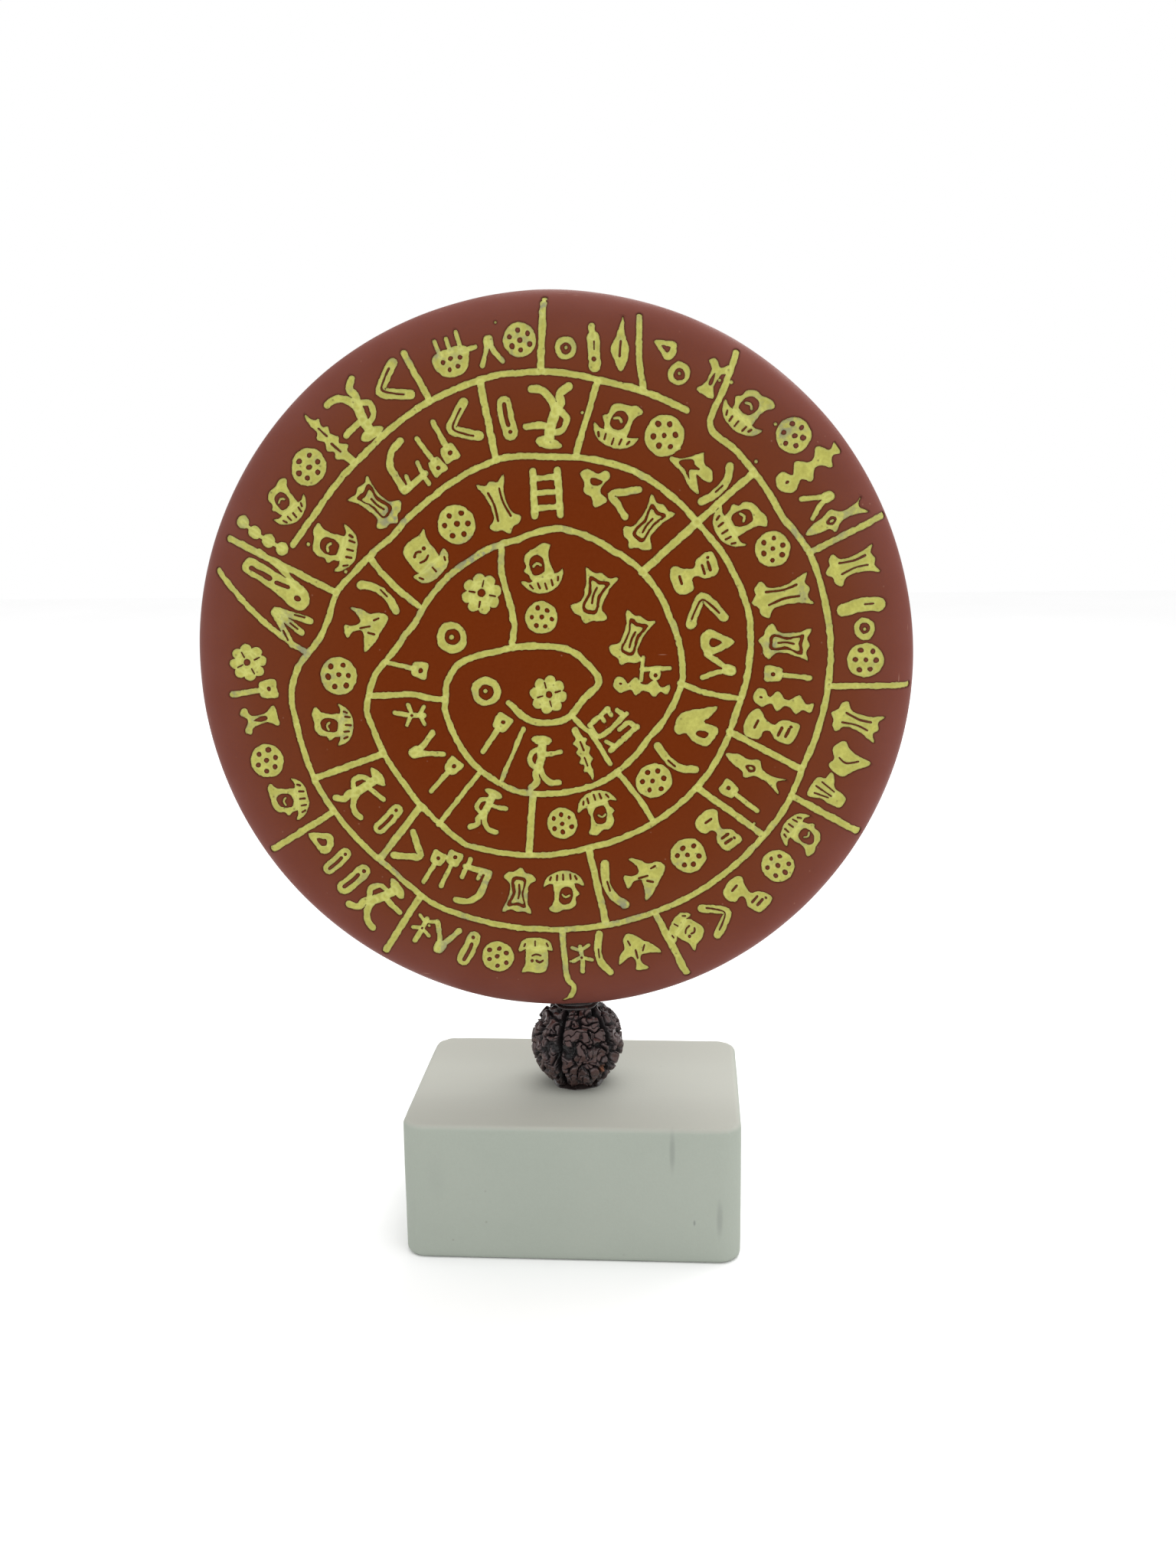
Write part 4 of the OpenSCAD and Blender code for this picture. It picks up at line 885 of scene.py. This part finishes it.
ground_coat = make_piece("disc_ground_coat", clay(np.vstack([ground_points, np.array(inner_places)])),
                         ground_faces + inner_faces)
# Painted highlight: 1 at the cut edges, fading to 0 half a millimetre away.
edge_highlight = np.zeros(len(ground_coat.data.vertices))
edge_highlight[:len(ground_flat)] = np.clip(1 - edge_distance / (0.5 * MM), 0, 1)
per_point(ground_coat, "edge_highlight", edge_highlight)
print(len(ground_coat.data.polygons), "faces in the ground coat")

# %% [markdown]
# ## The seed bead
#
# The bead is the stone of a fruit: round, with five grooves from pole to pole and a skin of flat-topped, winding
# ridges with deep pits between them. It could be a sculpt; here the ridges come from warped noise. Where the
# noise is near zero a narrow valley runs, and what lies between the valleys stays high and flat, like the real
# plates. The body is a lathe grid whose rows run over the outside and back through the bore.

# %% Bead
BEAD_STEPS = 520
GROOVES = 5
GROOVE_TURN = math.radians(-111)
flat_angle = math.asin(bead_half / bead_r)
rows = [(bead_r * math.cos(a), bead_r * math.sin(a), 1.0) for a in np.linspace(-flat_angle, flat_angle, 210)]
pole_r = bead_r * math.cos(flat_angle)
top_rows = [(pole_r + (socket_r - pole_r) * t, bead_half, 1 - t) for t in np.linspace(0, 1, 12)[1:]]
bore_rows = [(socket_r, bead_half * (1 - 2 * t), 0.0) for t in np.linspace(0, 1, 8)[1:-1]]
bottom_rows = [(socket_r + (pole_r - socket_r) * t, -bead_half, t) for t in np.linspace(0, 1, 12)[:-1]]
rows += top_rows + bore_rows + bottom_rows


def plates(p):
    """Height of the winding plates at a point in millimetres: 1 on a plate, 0 in a pit."""
    warp = noise.noise_vector(p * 0.28) * 1.3 + noise.noise_vector(p * 0.9 + Vector((7, 1, 4))) * 0.35
    q = p + warp
    wide = abs(noise.noise(q * 0.36 + Vector((SEED, 0, 3)))) / 0.19
    fine = abs(noise.noise(q * 0.62 + Vector((1, SEED, 8)))) / 0.13
    height = min(1, wide) ** 1.2 * (0.35 + 0.65 * min(1, fine) ** 1.1)
    cells = noise.voronoi(q * 1.25)[0]
    hole = max(0, 1 - cells[0] / 0.42) if height < 0.62 else 0
    return max(0, height - 0.5 * hole)


bead_points, bead_height = [], []
for r, z, weight in rows:
    for k in range(BEAD_STEPS):
        t = 2 * math.pi * k / BEAD_STEPS
        base_point = Vector((r * math.cos(t), r * math.sin(t), z))
        if weight == 0:
            bead_points.append(base_point)
            bead_height.append(0.2)
            continue
        p = base_point / MM
        high = plates(p)
        sway = 0.05 * noise.noise(Vector((z / MM * 0.4, 5, SEED)))
        side = (t + sway - GROOVE_TURN + math.pi / GROOVES) % (2 * math.pi / GROOVES) - math.pi / GROOVES
        across = abs(side) * r / MM
        groove = max(0, 1 - (across / 0.75) ** 2) if across < 0.75 else 0
        high *= 1 - 0.9 * max(0, 1 - across / 1.3)
        swell = 0.35 * (1 - math.cos(side * GROOVES)) / 2 + 1.1 * noise.noise(p * 0.42 + Vector((3, 1, SEED)))
        sink = 1.5 * (1 - high) ** 1.2 + 1.3 * groove + max(0, swell)
        rim = base_point.normalized() if abs(z) < bead_half - 1e-9 else Vector((0, 0, math.copysign(1, z)))
        bead_points.append(base_point - rim * sink * weight * MM * (1 if abs(z) < bead_half - 1e-9 else 0.4))
        bead_height.append(high * (1 - groove))
bead_faces = []
for a in range(len(rows)):
    b = (a + 1) % len(rows)
    for i in range(BEAD_STEPS):
        j = (i + 1) % BEAD_STEPS
        bead_faces.append((a * BEAD_STEPS + i, a * BEAD_STEPS + j, b * BEAD_STEPS + j, b * BEAD_STEPS + i))
bead_points = [p + Vector((0, 0, bead_middle.z)) for p in bead_points]
bead = make_piece("seed_bead_carved", bead_points, bead_faces, smooth_below=180)
per_point(bead, "height", bead_height)
print(len(bead.data.polygons), "faces on the bead")

# %% [markdown]
# ## The stone block
#
# The block is a plain sawn and rubbed stone or cast plaster: upright edges well rounded, the other edges only
# broken. It is built as rings of one rounded rectangle that shrink over the edges, so its corners flow, and its
# top has the bore for the rod. Slow noise takes off up to a tenth of a millimetre, as hand rubbing does.

# %% Block
CORNER, EDGE = 5 * MM, 1.3 * MM
PLAN_STEPS = 60
half_w, half_d = block_size.x / 2, block_size.y / 2


def plan_ring(inset, z):
    """One ring of the block: a rounded rectangle drawn in by inset, with the same number of points each."""
    w, d = half_w - inset, half_d - inset
    c = max(CORNER - inset, 0.2 * MM)
    ring = []
    for quarter, (sx, sy) in enumerate([(1, 1), (-1, 1), (-1, -1), (1, -1)]):
        for k in range(PLAN_STEPS // 4):
            t = math.pi / 2 * (quarter + k / (PLAN_STEPS // 4 - 1))
            ring.append(Vector((sx * (w - c) + c * math.cos(t), sy * (d - c) + c * math.sin(t), z)))
        nxt = [(1, 1), (-1, 1), (-1, -1), (1, -1)][(quarter + 1) % 4]
        a = Vector((sx * (w - c), sy * (d - c), z)) + Vector((math.cos(t), math.sin(t), 0)) * c
        b = Vector((nxt[0] * (w - c), nxt[1] * (d - c), z)) + Vector((math.cos(t), math.sin(t), 0)) * c
        parts = 30 if quarter % 2 == 0 else 22
        ring += [a.lerp(b, k / parts) for k in range(1, parts)]
    return ring


rings = [plan_ring(EDGE * (1 - math.sin(t)), EDGE * (1 - math.cos(t))) for t in np.linspace(0, math.pi / 2, 7)]
rings += [plan_ring(0, z) for z in np.linspace(EDGE, block_top - EDGE, 22)[1:-1]]
rings += [plan_ring(EDGE * (1 - math.cos(t)), block_top - EDGE * (1 - math.sin(t)))
          for t in np.linspace(0, math.pi / 2, 8)]
rim_ring = rings[-1]
bore_ring = [Vector((p.x, p.y, 0)).normalized() * socket_r for p in rim_ring]
for t in np.linspace(0, 1, 26)[1:]:
    rings.append([a.lerp(b + Vector((0, 0, block_top)), t) for a, b in zip(rim_ring, bore_ring)])
rings += [[p + Vector((0, 0, z)) for p in bore_ring] for z in np.linspace(block_top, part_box("block_socket_glue")[0][2], 5)[1:]]
bore_end = len(rings) - 1
underside = [[p.lerp(Vector((0, 0, 0)), t) for p in rings[0]] for t in np.linspace(0, 1, 8)[1:-1]]
count = len(rings[0])
block_points = [p for ring in rings for p in ring] + [p for ring in underside for p in ring]
block_faces = []


def band_between(lower, upper):
    for i in range(count):
        j = (i + 1) % count
        block_faces.append((lower + i, lower + j, upper + j, upper + i))


for k in range(len(rings) - 1):
    band_between(k * count, (k + 1) * count)
first_under = len(rings) * count
band_between(first_under, 0)
for k in range(len(underside) - 1):
    band_between(first_under + (k + 1) * count, first_under + k * count)
block_points += [Vector((0, 0, 0)), Vector((0, 0, bore_ring[0].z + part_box("block_socket_glue")[0][2]))]
last_under = first_under + (len(underside) - 1) * count
for i in range(count):
    j = (i + 1) % count
    block_faces += [(last_under + j, last_under + i, len(block_points) - 2),
                    (bore_end * count + i, bore_end * count + j, len(block_points) - 1)]
rubbed = []
for p in block_points:
    wear = 0.09 * abs(noise.noise(p / MM * 0.07 + Vector((2, 3, 1)))) + 0.03 * abs(noise.noise(p / MM * 0.3))
    if p.z < 0.4 * MM or math.hypot(p.x, p.y) < 8 * MM:
        wear = 0
    corner = max(0, abs(p.x) / half_w + abs(p.y) / half_d + abs(p.z - block_top / 2) / (block_top / 2) - 2.55)
    nick = 0.9 * corner * abs(noise.noise(p / MM * 0.5 + Vector((4, 4, 4))))
    centre = Vector((0, 0, block_top / 2))
    rubbed.append(p + (centre - p).normalized() * (wear + nick) * MM)
block = make_piece("stone_block", rubbed, block_faces, smooth_below=60)
print(len(block.data.polygons), "faces on the block")

# %% [markdown]
# ## The glue
#
# A collar of dark glue shows between the seed bead and the disc's rim. A thin ring of the same dark glue lies where the
# seed bead stands on the block, where the soft contact shadow falls; it is partly glue and partly painted shade.
# Glue creeps unevenly, so each is a soft ring with a wandering outer edge whose top follows the surface it wets.

# %% Glue collar and ring
def soft_ring(name, profile, steps=160):
    """A closed ring from profile(t), which gives the section's points at each angle."""
    sections = [profile(2 * math.pi * k / steps) for k in range(steps)]
    size = len(sections[0])
    points = [p for section in sections for p in section]
    faces = []
    for k in range(steps):
        n = (k + 1) % steps
        for i in range(size):
            j = (i + 1) % size
            faces.append((k * size + i, n * size + i, n * size + j, k * size + j))
    return make_piece(name, points, faces, smooth_below=180)


def under_disc(x, y):
    """Height of the disc's lower rim above a point of the plan."""
    beyond = max(0, abs(y) - (disc_half - rim_edge))
    r = flat_r + math.sqrt(max(0, rim_edge**2 - beyond**2))
    return centre_z - math.sqrt(r * r - (x - centre_x) ** 2)


def on_bead(r):
    return bead_middle.z + math.sqrt(max(0, bead_r**2 - r * r)) if r > pole_r else bead_top


def collar_section(t):
    c, s = math.cos(t), math.sin(t)
    wander = 0.35 * MM * noise.noise(Vector((c * 1.5, s * 1.5, 2)))
    low, high = 5.3 * MM + wander, 4.7 * MM + wander
    section = [(2 * MM, on_bead(0) - 0.3 * MM), (low - 0.5 * MM, on_bead(low) - 0.4 * MM), (low, on_bead(low) - 0.15 * MM)]
    top = under_disc(high * c, high * s)
    for f in (0.15, 0.35, 0.55, 0.75, 0.92):
        r = low + (high - low) * f - 0.7 * MM * math.sin(math.pi * f)
        section.append((r, on_bead(low) + (top - on_bead(low)) * f))
    section += [(high, top + 0.05 * MM), (high - 0.6 * MM, under_disc((high - 0.6 * MM) * c, (high - 0.6 * MM) * s) + 0.2 * MM),
                (2 * MM, under_disc(2 * MM * c, 2 * MM * s) + 0.2 * MM)]
    return [Vector((r * c, r * s, z)) for r, z in section]


# Partly painted shade: this dark ring stands where the contact shadow under the bead falls.
def glue_foot_contact_shade_section(t):
    c, s = math.cos(t), math.sin(t)
    wander = 0.5 * MM * noise.noise(Vector((c * 2, s * 2, 9)))
    outer = 6.0 * MM + wander
    section = [(2 * MM, block_top - 0.05 * MM), (outer, block_top - 0.05 * MM), (outer - 0.05 * MM, block_top + 0.08 * MM)]
    for f in (0.3, 0.6, 1.0):
        section.append((outer - 0.9 * MM * f, block_top + (0.12 + 0.75 * f**1.6) * MM))
    section.append((2 * MM, block_top + 0.8 * MM))
    return [Vector((r * c, r * s, z)) for r, z in section]


collar = soft_ring("glue_collar", collar_section)
glue_foot_contact_shade = soft_ring("glue_foot_and_contact_shade", glue_foot_contact_shade_section)
print("collar and foot made")

# %% [markdown]
# ## Finishes
#
# Effects that several finishes share are node groups: a mottle, which is soft noise with a chosen contrast, and
# specks, which are small round spots. A group gives out only masks. Each material then mixes its own colours
# with them and sets its own gloss.

# %% Node tools
def new_node(tree, kind, **values):
    """A node with its properties and inputs set; a value that is a socket is linked."""
    node = tree.nodes.new(kind)
    for key, value in values.items():
        if key in node.bl_rna.properties and key not in node.inputs:
            setattr(node, key, value)
            continue
        name = key.replace("_", " ")
        socket = node.inputs[int(key[1:])] if key[0] == "i" and key[1:].isdigit() else node.inputs[name]
        if isinstance(value, bpy.types.NodeSocket):
            tree.links.new(value, socket)
        else:
            socket.default_value = value
    return node


def shared_group(name, inputs, outputs):
    """An empty node group with named float or vector sockets."""
    group = bpy.data.node_groups.new(name, "ShaderNodeTree")
    for label, kind in inputs:
        group.interface.new_socket(name=label, in_out="INPUT", socket_type=kind)
    for label in outputs:
        group.interface.new_socket(name=label, in_out="OUTPUT", socket_type="NodeSocketFloat")
    return group, group.nodes.new("NodeGroupInput"), group.nodes.new("NodeGroupOutput")


FLOAT, VECTOR = "NodeSocketFloat", "NodeSocketVector"
mottle, given, result = shared_group(
    "mottle", [("Vector", VECTOR), ("Scale", FLOAT), ("Low", FLOAT), ("High", FLOAT)], ["Mask"])
cloud = new_node(mottle, "ShaderNodeTexNoise", Vector=given.outputs["Vector"], Scale=given.outputs["Scale"], Detail=5.0)
stretch = new_node(mottle, "ShaderNodeMapRange", Value=cloud.outputs[0], From_Min=given.outputs["Low"],
                   From_Max=given.outputs["High"])
mottle.links.new(stretch.outputs[0], result.inputs["Mask"])

specks, given, result = shared_group(
    "specks", [("Vector", VECTOR), ("Scale", FLOAT), ("Size", FLOAT), ("Share", FLOAT)], ["Mask"])
cells = new_node(specks, "ShaderNodeTexVoronoi", Vector=given.outputs["Vector"], Scale=given.outputs["Scale"])
core = new_node(specks, "ShaderNodeMapRange", Value=cells.outputs["Distance"], From_Min=given.outputs["Size"],
                From_Max=0.0)
pick = new_node(specks, "ShaderNodeSeparateColor", Color=cells.outputs["Color"])
chosen = new_node(specks, "ShaderNodeMath", operation="LESS_THAN", i0=pick.outputs[0], i1=given.outputs["Share"])
both = new_node(specks, "ShaderNodeMath", operation="MULTIPLY", i0=core.outputs[0], i1=chosen.outputs[0])
specks.links.new(both.outputs[0], result.inputs["Mask"])


def srgb(r, g, b):
    """A colour as seen on screen, 0 to 255, as the linear colour a shader needs."""
    return tuple((v / 255 / 12.92) if v <= 10 else ((v / 255 + 0.055) / 1.055) ** 2.4 for v in (r, g, b)) + (1,)


class Finish:
    """A material under construction: its tree, its coordinates and its Principled shader."""

    def __init__(self, name, roughness, **fixed):
        self.material = bpy.data.materials.new(name)
        self.material.use_nodes = True
        self.tree = self.material.node_tree
        self.shader = self.tree.nodes["Principled BSDF"]
        self.place = self.node("ShaderNodeTexCoord").outputs["Object"]
        self.shader.inputs["Roughness"].default_value = roughness
        for key, value in fixed.items():
            self.shader.inputs[key.replace("_", " ")].default_value = value

    def node(self, kind, **values):
        return new_node(self.tree, kind, **values)

    def group(self, tree, **values):
        node = self.node("ShaderNodeGroup", node_tree=tree)
        for key, value in {"Vector": self.place, **values}.items():
            if isinstance(value, bpy.types.NodeSocket):
                self.tree.links.new(value, node.inputs[key])
            else:
                node.inputs[key].default_value = value
        return node.outputs["Mask"]

    def mix(self, share, first, second, blend="MIX"):
        node = self.node("ShaderNodeMix", data_type="RGBA", blend_type=blend)
        for index, value in ((0, share), (6, first), (7, second)):
            if isinstance(value, bpy.types.NodeSocket):
                self.tree.links.new(value, node.inputs[index])
            else:
                node.inputs[index].default_value = value
        return node.outputs[2]

    def scaled(self, mask, factor):
        return self.node("ShaderNodeMath", operation="MULTIPLY", i0=mask, i1=factor).outputs[0]

    def near(self, middle, reach):
        """A soft patch round a place in metres: 1 in its middle, 0 at its reach along each axis."""
        moved = self.node("ShaderNodeVectorMath", operation="SUBTRACT", i0=self.place, i1=middle)
        shrunk = self.node("ShaderNodeVectorMath", operation="DIVIDE", i0=moved.outputs[0], i1=reach)
        far = self.node("ShaderNodeVectorMath", operation="LENGTH", i0=shrunk.outputs[0])
        return self.node("ShaderNodeMapRange", interpolation_type="SMOOTHSTEP", Value=far.outputs["Value"],
                         From_Min=1.0, From_Max=0.2).outputs[0]

    def ramp(self, value, stops):
        node = self.node("ShaderNodeValToRGB", Fac=value)
        stops_in = node.color_ramp.elements
        while len(stops_in) < len(stops):
            stops_in.new(0.5)
        for stop, (place, colour) in zip(stops_in, stops):
            stop.position = place
            stop.color = colour
        return node.outputs["Color"]

    def colour(self, value):
        self.tree.links.new(value, self.shader.inputs["Base Color"])

    def roughen(self, mask, low, high):
        span = self.node("ShaderNodeMapRange", Value=mask, To_Min=low, To_Max=high)
        self.tree.links.new(span.outputs[0], self.shader.inputs["Roughness"])

    def bump(self, *heights):
        """Bumps in a chain; each is (mask, depth in metres, strength)."""
        normal = None
        for mask, depth, strength in heights:
            values = {"Height": mask, "Distance": depth, "Strength": strength}
            if normal:
                values["Normal"] = normal
            normal = self.node("ShaderNodeBump", **values).outputs["Normal"]
        self.tree.links.new(normal, self.shader.inputs["Normal"])


print("groups:", [group.name for group in bpy.data.node_groups])

# %% [markdown]
# ### Top coat
#
# A satin red-brown paint. It is warm in the middle and turns greyer and pinker towards the rim, which is painted
# reflection of the bright room on the rim. The cuts' walls and edges are dark: painted shade of the walls, over a dark
# stain.

# %% Top coat finish
coat = Finish("top_coat_paint", 0.42, Specular_IOR_Level=0.03)
offset = coat.node("ShaderNodeVectorMath", operation="SUBTRACT", i0=coat.place, i1=(centre_x, 0, centre_z))
in_plane = coat.node("ShaderNodeVectorMath", operation="MULTIPLY", i0=offset.outputs[0], i1=(1 / disc_r, 0, 1 / disc_r))
reach = coat.node("ShaderNodeVectorMath", operation="LENGTH", i0=in_plane.outputs[0])
# Painted reflection: greyer and pinker towards the rim, for the sheen of the bright room on the rim.
paint = coat.ramp(reach.outputs["Value"], [
    (0.0, srgb(99, 37, 3)), (0.45, srgb(99, 38, 5)), (0.66, srgb(99, 44, 18)), (0.84, srgb(101, 52, 34)),
    (0.93, srgb(106, 60, 50)), (1.0, srgb(116, 70, 64))])
cloudy = coat.group(mottle, Scale=90.0, Low=0.35, High=0.68)
grainy = coat.group(mottle, Scale=1600.0, Low=0.3, High=0.7)
paint = coat.mix(coat.scaled(cloudy, 0.16), paint, srgb(88, 33, 12))
paint = coat.mix(coat.scaled(grainy, 0.10), paint, srgb(126, 62, 28))
dust = coat.group(specks, Scale=620.0, Size=0.16, Share=0.05)
paint = coat.mix(coat.scaled(dust, 0.35), paint, srgb(170, 130, 110))
for x, z, wide, tall in [(4, 78.6, 1.6, 0.12), (7, 78.2, 1.2, 0.1), (-22, 75.6, 1.3, 0.14), (30, 73.2, 1.4, 0.12),
                         (76.2, -3, 0.12, 1.6), (78, 8, 0.1, 1.3), (-77.4, -12, 0.12, 1.5), (-30, -71.4, 1.5, 0.14),
                         (14, -77.6, 1.2, 0.1), (25, 2.6, 1.3, 0.1)]:
    scratch = coat.near(((centre_x * 1000 + x) * MM, -disc_half, (centre_z * 1000 + z) * MM),
                        (wide * MM, 4 * MM, tall * MM))
    paint = coat.mix(coat.scaled(scratch, 0.5), paint, srgb(178, 138, 118))
# Painted shade of the cut walls, over a dark stain along the cut edges.
edge_shade_and_stain_mask = coat.node("ShaderNodeAttribute", attribute_name="edge_shade_and_stain").outputs["Fac"]
paint = coat.mix(coat.scaled(edge_shade_and_stain_mask, 0.62), paint, srgb(40, 17, 8))
coat.colour(paint)
coat.roughen(cloudy, 0.36, 0.5)
coat.bump((coat.group(mottle, Scale=520.0, Low=0.2, High=0.8), 0.00004, 0.5), (grainy, 0.000012, 0.5))
print(coat.material.name)

# %% [markdown]
# ### Ground coat
#
# A matt olive-yellow paint with a mottled grain. It is lighter along the cut edges, a painted highlight. Small dark
# specks are scattered over it, and some signs are smudged grey.

# %% Ground coat finish
ground = Finish("ground_coat_paint", 0.7)
edge_highlight_mask = ground.node("ShaderNodeAttribute", attribute_name="edge_highlight").outputs["Fac"]
grain = ground.group(mottle, Scale=1500.0, Low=0.3, High=0.7)
patch = ground.group(mottle, Scale=420.0, Low=0.38, High=0.62)
yellow = ground.mix(grain, srgb(163, 160, 68), srgb(185, 184, 90))
yellow = ground.mix(ground.scaled(patch, 0.5), yellow, srgb(146, 142, 55))
# Painted highlight: lighter yellow along the cut edges.
yellow = ground.mix(ground.scaled(edge_highlight_mask, 0.6), yellow, srgb(196, 199, 112))
smudge = ground.group(mottle, Scale=75.0, Low=0.56, High=0.72)
streak = ground.group(mottle, Scale=700.0, Low=0.42, High=0.6)
smudge = ground.scaled(smudge, ground.scaled(streak, 0.75))
yellow = ground.mix(smudge, yellow, srgb(112, 112, 104))
dark_specks = ground.group(specks, Scale=900.0, Size=0.3, Share=0.12)
yellow = ground.mix(ground.scaled(dark_specks, 0.8), yellow, srgb(84, 66, 30))
ground.colour(yellow)
ground.roughen(grain, 0.62, 0.8)
ground.bump((grain, 0.00005, 0.6), (patch, 0.00008, 0.4))
print(ground.material.name)

# %% [markdown]
# ### Seed bead
#
# Oiled dark seed. The plates are purplish brown with paler rims and redder polished middles, and the colour darkens
# to almost black down in the pits between them, which is painted shade. One small spot low on the right is a lighter
# orange brown.

# %% Bead finish
seed = Finish("bead_seed_oiled", 0.36)
height = seed.node("ShaderNodeAttribute", attribute_name="height").outputs["Fac"]
# Painted shade: the colour falls to almost black towards the bottoms of the pits.
brown = seed.ramp(height, [(0.0, srgb(8, 6, 8)), (0.3, srgb(22, 16, 18)), (0.55, srgb(44, 34, 35)),
                           (0.8, srgb(80, 66, 66)), (1.0, srgb(72, 47, 44))])
redder = seed.group(mottle, Scale=260.0, Low=0.45, High=0.65)
brown = seed.mix(seed.scaled(redder, 0.4), brown, srgb(74, 34, 28), "MULTIPLY")
fibre = seed.group(mottle, Scale=1800.0, Low=0.3, High=0.7)
brown = seed.mix(seed.scaled(fibre, 0.3), brown, srgb(24, 16, 16))
spot = seed.near((6.6 * MM, -8 * MM, block_top + 6 * MM), (1.6 * MM, 3 * MM, 1.4 * MM))
brown = seed.mix(seed.scaled(spot, 0.7), brown, srgb(132, 74, 34))
seed.colour(brown)
seed.roughen(height, 0.6, 0.28)
seed.bump((fibre, 0.00006, 0.7))
print(seed.material.name)

# %% [markdown]
# ### Stone block
#
# A matt, pale grey-green stone with a very fine grain. It has two faint upright smudges on the front near the
# right, a hair scratch, and a few dark specks. Its top face is painted lighter, as light from above makes it.

# %% Block finish
stone = Finish("block_stone_matt", 0.85, Specular_IOR_Level=0.3)
soft = stone.group(mottle, Scale=28.0, Low=0.3, High=0.7)
fine = stone.group(mottle, Scale=2200.0, Low=0.3, High=0.7)
pale = stone.mix(soft, srgb(154, 161, 151), srgb(159, 165, 155))
pale = stone.mix(stone.scaled(fine, 0.18), pale, srgb(147, 153, 142))
dark = stone.group(specks, Scale=260.0, Size=0.1, Share=0.08)
pale = stone.mix(stone.scaled(dark, 0.5), pale, srgb(118, 120, 108))
# Painted light: the top face is lighter than the sides, as the light from above makes it.
height_part = stone.node("ShaderNodeSeparateXYZ", i0=stone.place).outputs["Z"]
upper = stone.node("ShaderNodeMapRange", i0=height_part, i1=block_top - 0.9 * MM, i2=block_top - 0.1 * MM)
pale = stone.mix(stone.scaled(upper.outputs[0], 0.6), pale, srgb(184, 182, 174))
front_y = -half_d
for x, z, wide, tall, share in [(22.7, 27, 0.9, 6.5, 0.32), (33.2, 11, 1.0, 6, 0.28), (27.6, 10, 0.35, 1.0, 0.6),
                                (-30, 20, 3, 8, 0.05)]:
    mark = stone.near((x * MM, front_y, z * MM), (wide * MM, 6 * MM, tall * MM))
    pale = stone.mix(stone.scaled(mark, share), pale, srgb(104, 108, 106))
stone.colour(pale)
stone.bump((fine, 0.00003, 0.5), (stone.group(mottle, Scale=300.0, Low=0.3, High=0.7), 0.00003, 0.3))
print(stone.material.name)

# %% [markdown]
# ### Glue, steel and fired clay
#
# The glue is dark and glossy, with a dull bloom. The hidden rod is drawn steel with fine lines along it, and the
# disc's core is fired clay; both would show in a cut-open view.

# %% Hidden and small finishes
glue = Finish("glue_dark", 0.28)
bloom = glue.group(mottle, Scale=400.0, Low=0.4, High=0.7)
glue.colour(glue.mix(bloom, srgb(30, 22, 21), srgb(52, 42, 40)))
glue.roughen(bloom, 0.22, 0.5)
glue.bump((bloom, 0.00008, 0.4))

steel = Finish("rod_steel_drawn", 0.3, Metallic=1.0)
long_lines = steel.node("ShaderNodeVectorMath", operation="MULTIPLY", i0=steel.place, i1=(1, 1, 0.02))
lines = steel.group(mottle, Vector=long_lines.outputs[0], Scale=4000.0, Low=0.3, High=0.7)
steel.colour(steel.mix(lines, srgb(150, 150, 152), srgb(190, 190, 188)))
steel.roughen(lines, 0.25, 0.42)

clay_core = Finish("core_fired_clay", 0.9)
lumps = clay_core.group(mottle, Scale=500.0, Low=0.3, High=0.7)
clay_core.colour(clay_core.mix(lumps, srgb(160, 104, 76), srgb(182, 126, 94)))
clay_core.bump((lumps, 0.0001, 0.5))
print("finishes:", [m.name for m in bpy.data.materials if m.users or m.use_nodes])

# %% [markdown]
# ## Putting it together
#
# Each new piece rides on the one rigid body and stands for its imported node. The rod, the glue in the sockets and
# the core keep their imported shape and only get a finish.

# %% Pieces and bodies
for piece, finish, node_slot, nodes in [
        (top_coat, coat, "top_paint", ("top_coat_face", "top_coat_rim")),
        (ground_coat, ground, "ground_paint", ("ground_coat",)),
        (bead, seed, "bead_seed", ("seed_bead",)),
        (block, stone, "block_stone", ("block",)),
        (collar, glue, "glue", ("disc_glue_collar",)),
        (glue_foot_contact_shade, glue, "glue", ("block_glue_ring",))]:
    piece.data.materials.clear()
    piece.data.materials.append(finish.material)
    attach(piece, "root")
    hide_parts(*nodes)
for node, finish in [("support_rod", steel), ("block_socket_glue", glue), ("disc_socket_glue", glue),
                     ("disc_core", clay_core)]:
    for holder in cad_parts[node].material_slots:
        holder.material = finish.material
print("carried over:", ["support_rod", "block_socket_glue", "disc_socket_glue", "disc_core"])

# %% [markdown]
# ## The floor
#
# A plain pale floor, large enough that its edge never shows.

# %% Floor
floor_mesh = bpy.data.meshes.new("floor")
floor_mesh.from_pydata([(x, y, 0) for x, y in ((-2, -2), (2, -2), (2, 2), (-2, 2))], [], [(0, 1, 2, 3)])
floor = bpy.data.objects.new("floor", floor_mesh)
scene.collection.objects.link(floor)
paper = Finish("floor_paper", 0.9, Specular_IOR_Level=0.1)
paper.colour(paper.mix(paper.group(mottle, Scale=6.0, Low=0.3, High=0.7), (0.96, 0.96, 0.96, 1), (0.975, 0.975, 0.975, 1)))
floor_mesh.materials.append(paper.material)
print("floor", floor.name)
